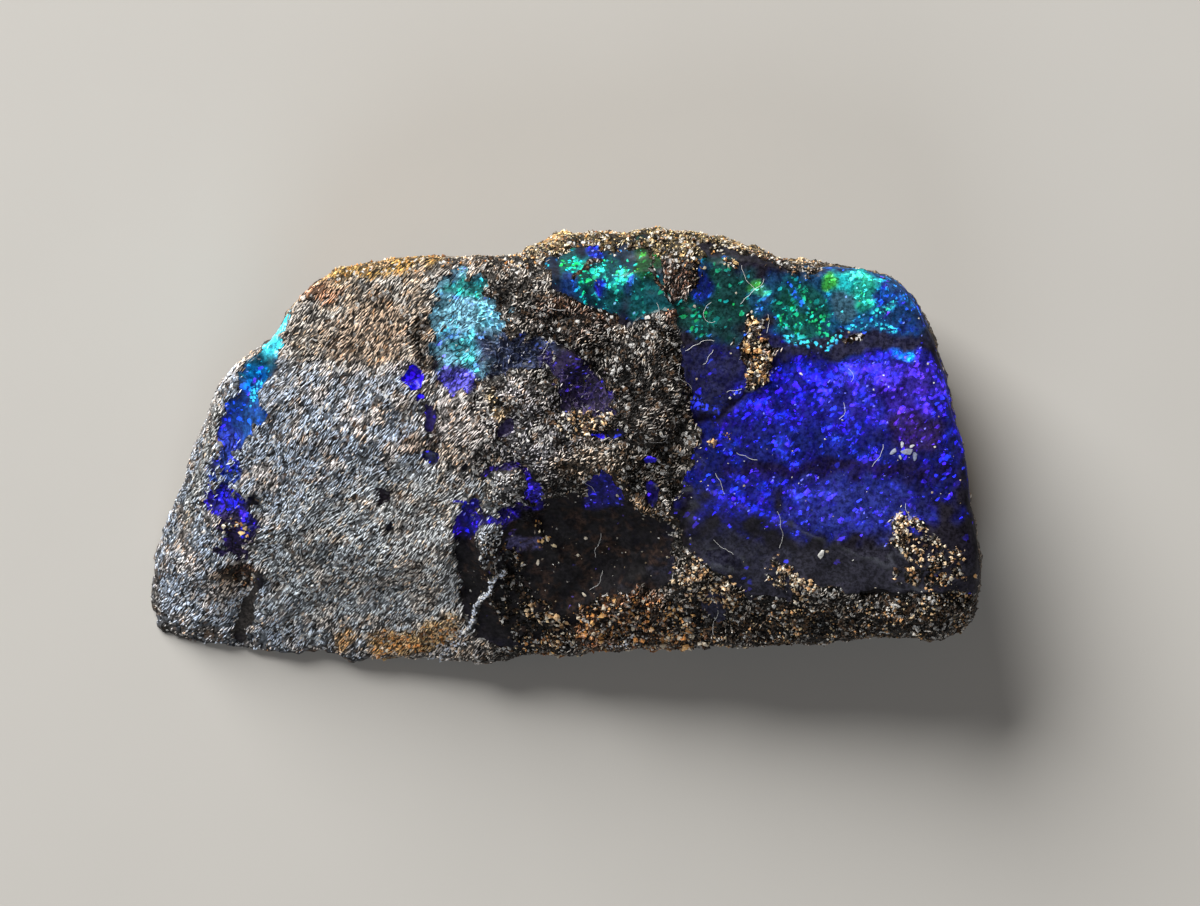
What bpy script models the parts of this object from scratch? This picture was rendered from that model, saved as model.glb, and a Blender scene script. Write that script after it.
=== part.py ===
"""A piece of rough boulder opal, one stone, lying on its flat side.

Frame: metres, +Z up, the origin under the middle of the stone on the surface it lies on, +X along its
length. The stone is a wedge of ironstone: thick at +X, where a glassy opal face covers the top, and
running out to a thin rim at the -X -Y corner. A narrow opal vein crosses its -X edge.

The build follows the way such a piece comes about. A slab with the stone's outline is cleaved by planes
into its main faces, above and below. Then the relief of the top is laid on: knobs of ironstone, hollows
where opal fills the stone or has fallen out, the vein's groove and the ripples of the lobe. All of the
skin is made uneven, and the base is cut flat.
"""

import math

import bmesh
import bpy
from mathutils import Vector, noise

MM = 0.001

# Driving dimensions, in millimetres. The slab reaches a little below the ground, where the base is cut.
THICKNESS = 10.2
BELOW_GROUND = 0.5

# The outline from above, anticlockwise from the -X -Y corner: front, right, back, left.
OUTLINE = [
    (-20.9, -9.0), (-20.4, -9.7), (-18.8, -10.0), (-14.4, -10.3), (-11.8, -10.4), (-8.3, -10.6),
    (-5.5, -10.8), (-2.5, -10.5), (2.1, -10.1), (5.8, -9.8), (9.5, -9.8), (13.6, -9.6), (15.0, -9.3),
    (18.4, -9.3), (19.4, -9.2), (20.0, -8.5), (20.3, -7.0), (20.4, -5.6), (20.1, -3.8), (19.7, -1.4),
    (19.0, 1.1), (18.6, 3.6), (17.9, 5.5), (17.2, 6.8), (16.6, 7.7), (15.9, 8.2), (13.2, 8.6),
    (10.7, 8.8), (8.9, 9.5), (7.4, 10.0), (4.5, 10.3), (1.9, 10.2), (-0.5, 10.0), (-1.6, 9.5),
    (-2.3, 9.0), (-5.7, 8.9), (-8.7, 8.7), (-10.9, 8.4), (-12.2, 7.9), (-13.5, 6.6), (-14.4, 5.2),
    (-15.5, 4.4), (-16.4, 3.9), (-16.8, 3.1), (-17.5, 1.6), (-18.2, 0.2), (-18.8, -1.0), (-19.2, -2.3),
    (-19.8, -3.5), (-20.6, -5.5), (-20.9, -7.2),
]

# Cleavage planes of the top: a point on each face, and how far it rises for each millimetre along X, Y.
TOP_FACES = {
    "opal face": ((8.0, 2.0, 9.6), (-0.07, 0.03)),
    "crown": ((-3.0, 4.0, 9.5), (0.10, 0.13)),
    "lobe, middle": ((-8.0, -1.0, 8.0), (0.14, 0.52)),
    "lobe, front": ((-10.0, -5.0, 5.6), (0.17, 0.80)),
    "left strip": ((-18.0, -2.0, 4.7), (1.05, 0.20)),
    "back edge": ((2.0, 9.4, 9.3), (0.02, -0.75)),
    "front slope": ((8.0, -5.2, 9.2), (-0.03, 0.30)),
    "front crust": ((8.0, -8.3, 8.2), (-0.03, 1.25)),
    "right corner": ((18.8, -7.6, 7.9), (-0.80, 0.95)),
    "right rim": ((19.0, 2.0, 8.6), (-1.20, -0.35)),
}

# Cleavage planes of the underside: a point on each face, and the way the face looks.
UNDER_FACES = {
    "under the right end": ((18.9, 0.0, 0.0), (0.86, 0.05, -0.50)),
    "under the front": ((10.0, -8.7, 0.0), (0.10, -0.90, -0.42)),
    "under the back": ((3.0, 7.4, 0.0), (0.03, 0.80, -0.60)),
    "under the left": ((-15.9, 1.6, 0.0), (-0.75, 0.50, -0.43)),
    "under the front corner": ((17.6, -7.3, 0.0), (0.62, -0.60, -0.50)),
    "under the back corner": ((15.0, 6.2, 0.0), (0.50, 0.55, -0.67)),
}

# Knobs of ironstone that stand out of the top: centre, radii, turn in degrees and height.
KNOBS = [
    ((3.8, 2.7), (2.5, 2.7), -20, 0.60),
    ((0.6, 5.0), (1.3, 1.8), -25, 0.50),
    ((-0.4, 7.3), (2.1, 1.2), 10, 0.35),
    ((-4.6, 1.3), (1.8, 1.7), 30, 0.40),
    ((-1.8, 2.6), (1.7, 1.4), 20, 0.40),
    ((-0.9, 0.2), (2.2, 1.2), 0, 0.40),
    ((1.8, -0.8), (1.7, 1.0), -30, 0.30),
    ((-2.7, -2.0), (0.9, 0.9), 0, 0.45),
    ((-4.0, -5.0), (0.9, 2.0), -20, 0.55),
    ((5.9, 8.4), (0.9, 1.9), 10, 0.30),
    ((9.7, 4.2), (0.7, 1.6), 5, 0.25),
    ((17.6, -5.2), (1.6, 1.3), -20, 0.30),
    ((7.0, -7.0), (2.0, 1.2), 20, 0.35),
    ((2.2, -8.6), (2.0, 1.3), 0, 0.45),
]

# Hollows in the top, described in the same way, with a depth.
HOLLOWS = [
    ((0.6, -5.4), (4.2, 2.6), 12, 0.55),
    ((2.4, -4.6), (4.6, 2.2), -20, 0.45),
    ((-5.2, -6.3), (0.8, 2.2), -8, 0.60),
    ((-4.6, 6.2), (2.1, 2.4), 0, 0.30),
    ((3.6, 8.3), (2.6, 1.1), 0, 0.15),
    ((0.9, 2.6), (1.4, 1.1), 30, 0.40),
    ((-7.6, 3.5), (0.8, 0.6), 0, 0.35),
    ((-6.7, 1.2), (0.7, 1.1), 10, 0.40),
    ((-9.0, -2.4), (0.6, 0.7), 0, 0.35),
    ((-1.6, -2.9), (1.9, 0.9), -25, 0.40),
    ((5.2, -1.6), (1.8, 1.3), 0, 0.35),
    ((12.5, 3.9), (6.5, 0.45), -2, 0.20),
]

# The rims of knobs and hollows wander by up to this much, with a wave of this length.
WANDER = 0.45
WANDER_LENGTH = 1.6

# A knob's side takes up the rim of its ellipse, and the rest of its top is flat.
PLATEAU_GAIN = 1.8
PLATEAU_CURVE = 0.8

# The vein's groove along the -X edge.
VEIN = [
    (-14.2, 6.6), (-15.0, 4.0), (-15.8, 1.8), (-16.7, -1.0), (-17.1, -3.0), (-16.5, -5.6), (-16.3, -10.0),
]
VEIN_HALF_WIDTH = 0.75
VEIN_DEPTH = 0.40

# Ripples that run over the ironstone lobe, along this direction from +X, and fade out beyond the lobe.
RIPPLE_DIRECTION = math.radians(38.0)
RIPPLE_LENGTH = 1.9
RIPPLE_HEIGHT = 0.10
RIPPLE_BEND = 5.0
LOBE_END = -4.0
LOBE_FADE = 2.0

# The glassy face lies beyond this X and this Y, and takes only part of the stone's unevenness.
GLASS_FROM = (6.0, -7.6)
GLASS_FADE = (1.5, 1.2)
GLASS_CALM = 0.8
SIDE_CALM = 0.4

# Unevenness of the whole skin: length of the lumps and their height. The sides are then set out by SKIN.
BROAD_LUMPS = (5.0, 0.26)
SMALL_LUMPS = (1.7, 0.16)
SKIN = 0.16

# A face looks up where its normal's Z is above TOP_TILT, fully so by TOP_TILT + TOP_BLEND.
TOP_TILT = 0.35
TOP_BLEND = 0.35
SIDE_TILT = 0.7

# The mesh: the even cells that the relief is laid on, and the triangles that are kept of them.
CELL = 0.42
TRIANGLES = 10500
SHARP_ANGLE = math.radians(35.0)

# The block that the base is cut with: length, width and depth.
GROUND_BLOCK = (60.0, 40.0, 10.0)

STONE_COLOUR = (0.16, 0.135, 0.115, 1.0)
STONE_ROUGHNESS = 0.85


def clear_scene():
    for obj in list(bpy.data.objects):
        bpy.data.objects.remove(obj)


def new_collection(name):
    collection = bpy.data.collections.new(name)
    bpy.context.scene.collection.children.link(collection)
    return collection


def evaluated_mesh(obj):
    """A new mesh of the object as its curve settings and modifiers make it."""
    bpy.context.view_layer.update()
    graph = bpy.context.evaluated_depsgraph_get()
    return bpy.data.meshes.new_from_object(obj.evaluated_get(graph))


def outline_slab(collection):
    """A slab with the stone's outline and full thickness, from a filled and extruded curve."""
    curve = bpy.data.curves.new("outline", "CURVE")
    curve.dimensions = "2D"
    curve.fill_mode = "BOTH"
    curve.extrude = (THICKNESS + BELOW_GROUND) / 2 * MM
    spline = curve.splines.new("POLY")
    spline.points.add(len(OUTLINE) - 1)
    for point, (x, y) in zip(spline.points, OUTLINE):
        point.co = (x * MM, y * MM, 0.0, 1.0)
    spline.use_cyclic_u = True
    guide = bpy.data.objects.new("outline", curve)
    collection.objects.link(guide)
    mesh = evaluated_mesh(guide)
    bpy.data.objects.remove(guide)
    bm = bmesh.new()
    bm.from_mesh(mesh)
    bpy.data.meshes.remove(mesh)
    bmesh.ops.remove_doubles(bm, verts=bm.verts, dist=0.01 * MM)
    bmesh.ops.translate(bm, verts=bm.verts, vec=(0.0, 0.0, (THICKNESS - BELOW_GROUND) / 2 * MM))
    return bm


def cleave(bm, point, normal):
    """Splits away what lies beyond a plane and closes the cut."""
    geometry = bm.verts[:] + bm.edges[:] + bm.faces[:]
    cut = bmesh.ops.bisect_plane(
        bm, geom=geometry, plane_co=Vector(point) * MM, plane_no=Vector(normal), clear_outer=True
    )
    rim = [piece for piece in cut["geom_cut"] if isinstance(piece, bmesh.types.BMEdge)]
    bmesh.ops.contextual_create(bm, geom=rim)


def cleave_all(bm):
    """Gives the slab its main faces, above and below."""
    for point, (rise_x, rise_y) in TOP_FACES.values():
        cleave(bm, point, (-rise_x, -rise_y, 1.0))
    for point, normal in UNDER_FACES.values():
        cleave(bm, point, normal)
    bmesh.ops.recalc_face_normals(bm, faces=bm.faces)


def remesh(obj):
    """Turns the few large faces of the cleaved stone into many small even ones."""
    modifier = obj.modifiers.new("even", "REMESH")
    modifier.mode = "VOXEL"
    modifier.voxel_size = CELL * MM
    even = evaluated_mesh(obj)
    obj.modifiers.remove(modifier)
    obj.data = even


def ramp(value, start, width):
    """0 up to start, rising to 1 over the width."""
    return min(1.0, max(0.0, (value - start) / width))


def wander(x, y):
    """Moves a place a little, so that rims drawn there aren't true ellipses or straight lines."""
    place = Vector((x, y, 0.0)) / WANDER_LENGTH
    shift = noise.noise_vector(place) * WANDER
    return x + shift.x, y + shift.y


def inside_ellipse(x, y, centre, radii, turn):
    """0 at the rim of a turned ellipse and beyond it, rising to 1 at its centre."""
    angle = math.radians(turn)
    dx, dy = x - centre[0], y - centre[1]
    u = (dx * math.cos(angle) + dy * math.sin(angle)) / radii[0]
    v = (dy * math.cos(angle) - dx * math.sin(angle)) / radii[1]
    return max(0.0, 1.0 - u * u - v * v)


def plateau(share):
    """Turns a dome into a form with steep sides and a flat top."""
    return min(1.0, PLATEAU_GAIN * share) ** PLATEAU_CURVE


def distance_to_path(x, y, path):
    """The distance from a point to the nearest stretch of a path."""
    point = Vector((x, y))
    nearest = math.inf
    for start, end in zip(path, path[1:]):
        a, b = Vector(start), Vector(end)
        along = (point - a).dot(b - a) / (b - a).length_squared
        nearest = min(nearest, (point - a.lerp(b, ramp(along, 0.0, 1.0))).length)
    return nearest


def lumpiness(place, lumps):
    """Natural unevenness at a place, from lumps of a length and height."""
    length, height = lumps
    return height * noise.fractal(place / length, 0.8, 2.1, 4)


def on_glass(x, y):
    """1 on the smooth glassy face, falling to 0 on rough ironstone."""
    return ramp(x, GLASS_FROM[0], GLASS_FADE[0]) * ramp(y, GLASS_FROM[1], GLASS_FADE[1])


def ripples(x, y):
    """The lobe's ripples: long waves, bent by noise, that fade out beyond the lobe."""
    across = y * math.cos(RIPPLE_DIRECTION) - x * math.sin(RIPPLE_DIRECTION)
    along = x * math.cos(RIPPLE_DIRECTION) + y * math.sin(RIPPLE_DIRECTION)
    bend = RIPPLE_BEND * noise.noise(Vector((along * 0.12, across * 0.2, 3.0)))
    fade = ramp(-x, -LOBE_END, LOBE_FADE)
    return fade * RIPPLE_HEIGHT * math.sin(2 * math.pi * across / RIPPLE_LENGTH + bend)


def top_relief(x, y):
    """How far the top stands above or below its cleaved face at a place."""
    height = ripples(x, y)
    x, y = wander(x, y)
    for centre, radii, turn, tall in KNOBS:
        height += tall * plateau(inside_ellipse(x, y, centre, radii, turn))
    for centre, radii, turn, deep in HOLLOWS:
        height -= deep * plateau(inside_ellipse(x, y, centre, radii, turn))
    from_vein = distance_to_path(x, y, VEIN) / VEIN_HALF_WIDTH
    return height - VEIN_DEPTH * max(0.0, 1.0 - from_vein * from_vein)


def weather(obj):
    """Lays the relief on the top and makes all of the skin uneven."""
    mesh = obj.data
    normals = [normal.vector.copy() for normal in mesh.vertex_normals]
    for vertex, normal in zip(mesh.vertices, normals):
        place = vertex.co / MM
        facing_up = ramp(normal.z, TOP_TILT, TOP_BLEND)
        on_side = 1.0 - ramp(abs(normal.z), 0.0, SIDE_TILT)
        calm = GLASS_CALM * on_glass(place.x, place.y) * facing_up + SIDE_CALM * on_side
        rough = lumpiness(place, BROAD_LUMPS) + lumpiness(place, SMALL_LUMPS)
        shift = normal * (rough * (1.0 - calm) + SKIN * on_side)
        shift.z += facing_up * top_relief(place.x, place.y)
        vertex.co = (place + shift) * MM


def ground_cutter(collection):
    """A block whose top is the plane that the stone's base is cut to."""
    bpy.ops.mesh.primitive_cube_add(size=1.0)
    cutter = bpy.context.object
    cutter.name = "ground_cutter"
    cutter.scale = Vector(GROUND_BLOCK) * MM
    cutter.location.z = -GROUND_BLOCK[2] / 2 * MM
    for home in list(cutter.users_collection):
        home.objects.unlink(cutter)
    collection.objects.link(cutter)
    cutter.hide_render = True
    cutter.display_type = "WIRE"
    return cutter


def finish_mesh(obj, cutter):
    """Thins the mesh to its triangles, cuts the flat base and centres it over the origin."""
    thin = obj.modifiers.new("thin", "DECIMATE")
    thin.ratio = TRIANGLES / (2 * len(obj.data.polygons))
    base = obj.modifiers.new("base", "BOOLEAN")
    base.operation = "DIFFERENCE"
    base.solver = "EXACT"
    base.object = cutter
    mesh = evaluated_mesh(obj)
    obj.modifiers.clear()
    obj.data = mesh
    low = Vector([min(v.co[axis] for v in mesh.vertices) for axis in range(3)])
    high = Vector([max(v.co[axis] for v in mesh.vertices) for axis in range(3)])
    middle = (low + high) / 2
    for vertex in mesh.vertices:
        vertex.co -= Vector((middle.x, middle.y, low.z))


def stone_material():
    material = bpy.data.materials.new("ironstone")
    material.use_nodes = True
    shader = material.node_tree.nodes["Principled BSDF"]
    shader.inputs["Base Color"].default_value = STONE_COLOUR
    shader.inputs["Roughness"].default_value = STONE_ROUGHNESS
    return material


def main():
    clear_scene()
    parts = new_collection("boulder_opal")
    cutters = new_collection("cutters")
    bm = outline_slab(cutters)
    cleave_all(bm)
    mesh = bpy.data.meshes.new("boulder_opal")
    bm.to_mesh(mesh)
    bm.free()
    stone = bpy.data.objects.new("boulder_opal", mesh)
    parts.objects.link(stone)
    remesh(stone)
    weather(stone)
    finish_mesh(stone, ground_cutter(cutters))
    stone.data.materials.clear()
    stone.data.materials.append(stone_material())
    stone.data.shade_smooth()
    stone.data.set_sharp_from_angle(angle=SHARP_ANGLE)


main()
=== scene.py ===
"""The finish of a piece of rough boulder opal: ironstone, glassy opal, sandy crust, grit, chips and lint.

The stone is one piece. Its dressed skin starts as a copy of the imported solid, gets a fine even mesh, and is
then carved in code: zones are drawn on it, each zone gets its relief, and its colours are painted as
attributes that the material reads. Ridges, grains, sandy crust, chips and lint are joined meshes on it.

Zones are drawn on the plan of the stone: millimetres, +X to the right, +Y away, as the eye above sees it.
"""
import math

import bpy
import numpy as np
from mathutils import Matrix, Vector, noise
from mathutils.bvhtree import BVHTree


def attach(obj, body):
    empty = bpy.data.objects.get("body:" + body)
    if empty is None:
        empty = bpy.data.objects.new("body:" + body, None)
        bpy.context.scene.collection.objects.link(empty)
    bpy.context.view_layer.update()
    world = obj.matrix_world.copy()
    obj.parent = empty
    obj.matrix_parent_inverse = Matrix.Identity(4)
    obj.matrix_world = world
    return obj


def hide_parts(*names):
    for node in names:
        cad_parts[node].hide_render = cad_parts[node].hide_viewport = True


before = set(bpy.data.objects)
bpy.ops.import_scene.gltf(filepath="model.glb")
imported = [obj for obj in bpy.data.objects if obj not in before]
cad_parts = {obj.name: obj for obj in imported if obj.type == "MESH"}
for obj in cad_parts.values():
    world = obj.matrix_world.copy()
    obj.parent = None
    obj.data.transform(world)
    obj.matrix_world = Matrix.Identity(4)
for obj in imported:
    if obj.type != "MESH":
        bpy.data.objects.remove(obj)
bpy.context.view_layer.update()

MM = 0.001
FAR = 1e6

# ---------------------------------------------------------------- noise
# Blender's noise reaches about 0.6 either way, and the gain takes that to about 1. Each seed shifts it.
NOISE_GAIN = 1.6
NOISE_SHIFT = (7.31, 3.17, 5.73)
CELL_GAIN = 1.6
CELL_SHIFT = (5.11, 9.07, 2.93)

# ---------------------------------------------------------------- camera and plan, in millimetres
EYE = (1.9, -0.25, 305.0)
PLAN_HEIGHT = 5.0
PLAN_WIDTH = 60.0

# ---------------------------------------------------------------- the skin's mesh
SKIN_CELL = 0.25
SMOOTHING_ROUNDS = 6

# ---------------------------------------------------------------- zones of the plan
# Outlines of glassy opal and of dark potch.
GLASS_OUTLINES = {
    "face": [
        (-0.7, 9.3), (0.65, 9.95), (2.4, 10.25), (4.65, 10.4), (6.9, 10.25), (9.0, 9.7), (10.9, 9.0),
        (12.9, 9.0), (13.6, 9.5), (16.2, 9.5), (17.9, 9.0), (20.9, 8.3), (22.4, 1.4), (22.4, -7.6),
        (20.65, -7.4), (19.4, -7.45), (17.15, -7.45), (15.1, -7.5), (14.2, -7.0), (12.65, -6.85),
        (11.4, -7.5), (9.5, -7.5), (8.65, -6.85), (7.5, -6.1), (6.4, -5.4), (5.7, -4.1), (5.3, -3.35),
        (6.1, -1.7), (6.75, 0.0), (6.9, 0.9), (6.5, 1.65), (6.35, 2.8), (6.2, 4.1), (6.0, 5.15),
        (5.85, 6.8), (5.5, 6.9), (4.4, 6.6), (3.4, 6.05), (2.7, 6.3), (1.5, 7.0), (0.15, 7.6),
        (-0.5, 8.15),
    ],
    "hollow": [
        (-5.35, -4.4), (-5.3, -3.6), (-4.8, -2.75), (-4.3, -2.9), (-3.5, -3.3), (-2.8, -3.0),
        (-2.1, -2.9), (-1.1, -2.75), (-0.1, -2.45), (1.3, -2.4), (1.5, -1.3), (2.2, -0.9), (3.0, -1.6),
        (3.4, -2.6), (4.15, -3.2), (5.15, -3.7), (5.5, -4.85), (5.7, -5.9), (5.15, -6.85), (3.9, -7.1),
        (2.4, -7.2), (1.4, -7.6), (0.8, -8.6), (-0.1, -9.6), (-1.6, -10.0), (-3.1, -10.0), (-4.2, -9.4),
        (-4.8, -8.5), (-5.0, -7.6), (-5.25, -6.1),
    ],
    "vein": [
        (-13.5, 6.85), (-13.8, 6.15), (-14.05, 5.15), (-14.2, 4.8), (-14.2, 3.8), (-14.8, 3.4),
        (-15.0, 2.9), (-15.0, 2.3), (-14.7, 1.8), (-15.0, 1.15), (-15.5, 0.8), (-15.95, 0.4),
        (-16.15, -0.35), (-16.2, -1.1), (-16.3, -1.85), (-16.2, -2.2), (-15.5, -2.85), (-15.4, -3.35),
        (-15.4, -4.1), (-15.75, -4.85), (-15.85, -5.4), (-16.2, -5.7), (-16.7, -5.5), (-17.1, -5.0),
        (-17.0, -4.1), (-17.2, -3.45), (-17.85, -2.85), (-17.45, -2.1), (-17.4, -1.1), (-17.25, -0.1),
        (-17.05, 0.9), (-16.6, 1.9), (-16.3, 2.9), (-16.1, 3.8), (-15.8, 4.4), (-15.2, 4.8),
        (-14.8, 5.15), (-14.55, 5.9), (-14.1, 6.5),
    ],
    "teal": [
        (-6.1, 8.65), (-5.2, 8.9), (-4.3, 8.7), (-3.9, 8.2), (-3.9, 7.4), (-3.1, 7.0), (-2.75, 6.4),
        (-2.8, 5.65), (-1.9, 5.6), (-0.9, 5.45), (-0.3, 4.9), (-0.5, 3.9), (-1.6, 4.0), (-2.85, 3.8),
        (-3.6, 3.5), (-4.6, 2.8), (-5.5, 2.7), (-6.05, 3.1), (-6.05, 3.8), (-6.3, 4.5), (-6.25, 5.4),
        (-6.45, 6.3), (-6.3, 7.4), (-6.4, 8.15),
    ],
    "violet hollow": [
        (-0.5, 4.8), (-0.1, 5.2), (0.5, 4.9), (1.4, 4.0), (2.0, 3.15), (2.5, 2.55), (2.6, 1.65),
        (2.0, 1.4), (1.2, 1.6), (0.2, 1.8), (-0.3, 2.5), (-0.3, 3.4), (-0.8, 4.0),
    ],
}
# Small opals, seams and pits: centre, radii and turn in degrees.
GLASS_SPOTS = {
    "blue square": ((-7.4, 3.55), (0.62, 0.57), 10),
    "blue dot": ((-7.05, 2.6), (0.32, 0.20), 20),
    "milky blue": ((-5.35, 3.3), (0.75, 0.48), 0),
    "dark oval": ((-6.6, 1.5), (0.42, 0.75), -12),
    "dark pool": ((-6.5, -0.4), (0.45, 0.38), 0),
    "gleam": ((-4.85, -0.85), (0.25, 0.20), 0),
    "violet patch": ((-2.85, 1.0), (0.50, 0.45), 0),
    "dark violet": ((2.75, 0.75), (0.36, 0.32), 0),
    "bright dot": ((1.9, 0.6), (0.32, 0.16), 0),
    "blue point": ((4.5, -0.6), (0.24, 0.20), 0),
    "blue pit": ((4.5, -2.15), (0.45, 0.55), 0),
    "small blue": ((-2.6, -3.1), (0.60, 0.40), 20),
    "arc, right": ((-1.4, -2.15), (0.40, 0.55), 20),
    "pit": ((-8.85, -2.35), (0.42, 0.46), 0),
    "small pit": ((-8.7, -4.0), (0.27, 0.22), 0),
    "low glass": ((7.7, -7.9), (0.75, 0.60), 20),
}
# Narrow glass: points and half width.
GLASS_STROKES = {
    "seam": ([(-15.15, -6.4), (-15.5, -7.5), (-15.75, -8.35), (-15.95, -9.3)], 0.30),
    "arc": ([(-3.8, -1.4), (-3.1, -0.95), (-2.2, -0.90), (-1.75, -1.25), (-1.45, -1.9), (-1.2, -2.6)],
             0.18),
    "hook": ([(-5.3, -4.3), (-5.2, -3.7), (-4.8, -3.2), (-4.4, -2.85)], 0.22),
}
# Knobs of ironstone that stand in the glass.
IRON_OUTLINES = {
    "finger": [
        (-4.2, -4.4), (-4.0, -3.7), (-3.6, -3.5), (-3.2, -3.7), (-3.05, -4.4), (-3.15, -5.2),
        (-3.4, -5.8), (-3.9, -5.6), (-4.25, -5.1),
    ],
    "upper inclusion": [
        (4.1, 10.3), (4.5, 9.7), (5.0, 9.2), (5.1, 8.5), (5.3, 7.8), (5.85, 7.2), (6.3, 7.5),
        (6.75, 8.4), (6.7, 9.3), (7.2, 9.9), (6.3, 10.2),
    ],
    "middle inclusion": [
        (8.6, 5.5), (9.2, 5.55), (9.4, 6.5), (9.9, 6.5), (10.05, 5.6), (10.7, 4.9), (10.35, 4.3),
        (10.55, 3.6), (10.0, 3.1), (9.3, 2.95), (9.2, 3.8), (9.1, 4.4), (8.7, 4.9),
    ],
    "blob": [
        (-2.85, -1.6), (-2.5, -1.3), (-1.9, -1.35), (-1.65, -1.9), (-1.85, -2.5), (-2.4, -2.65),
        (-2.8, -2.3),
    ],
}

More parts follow.
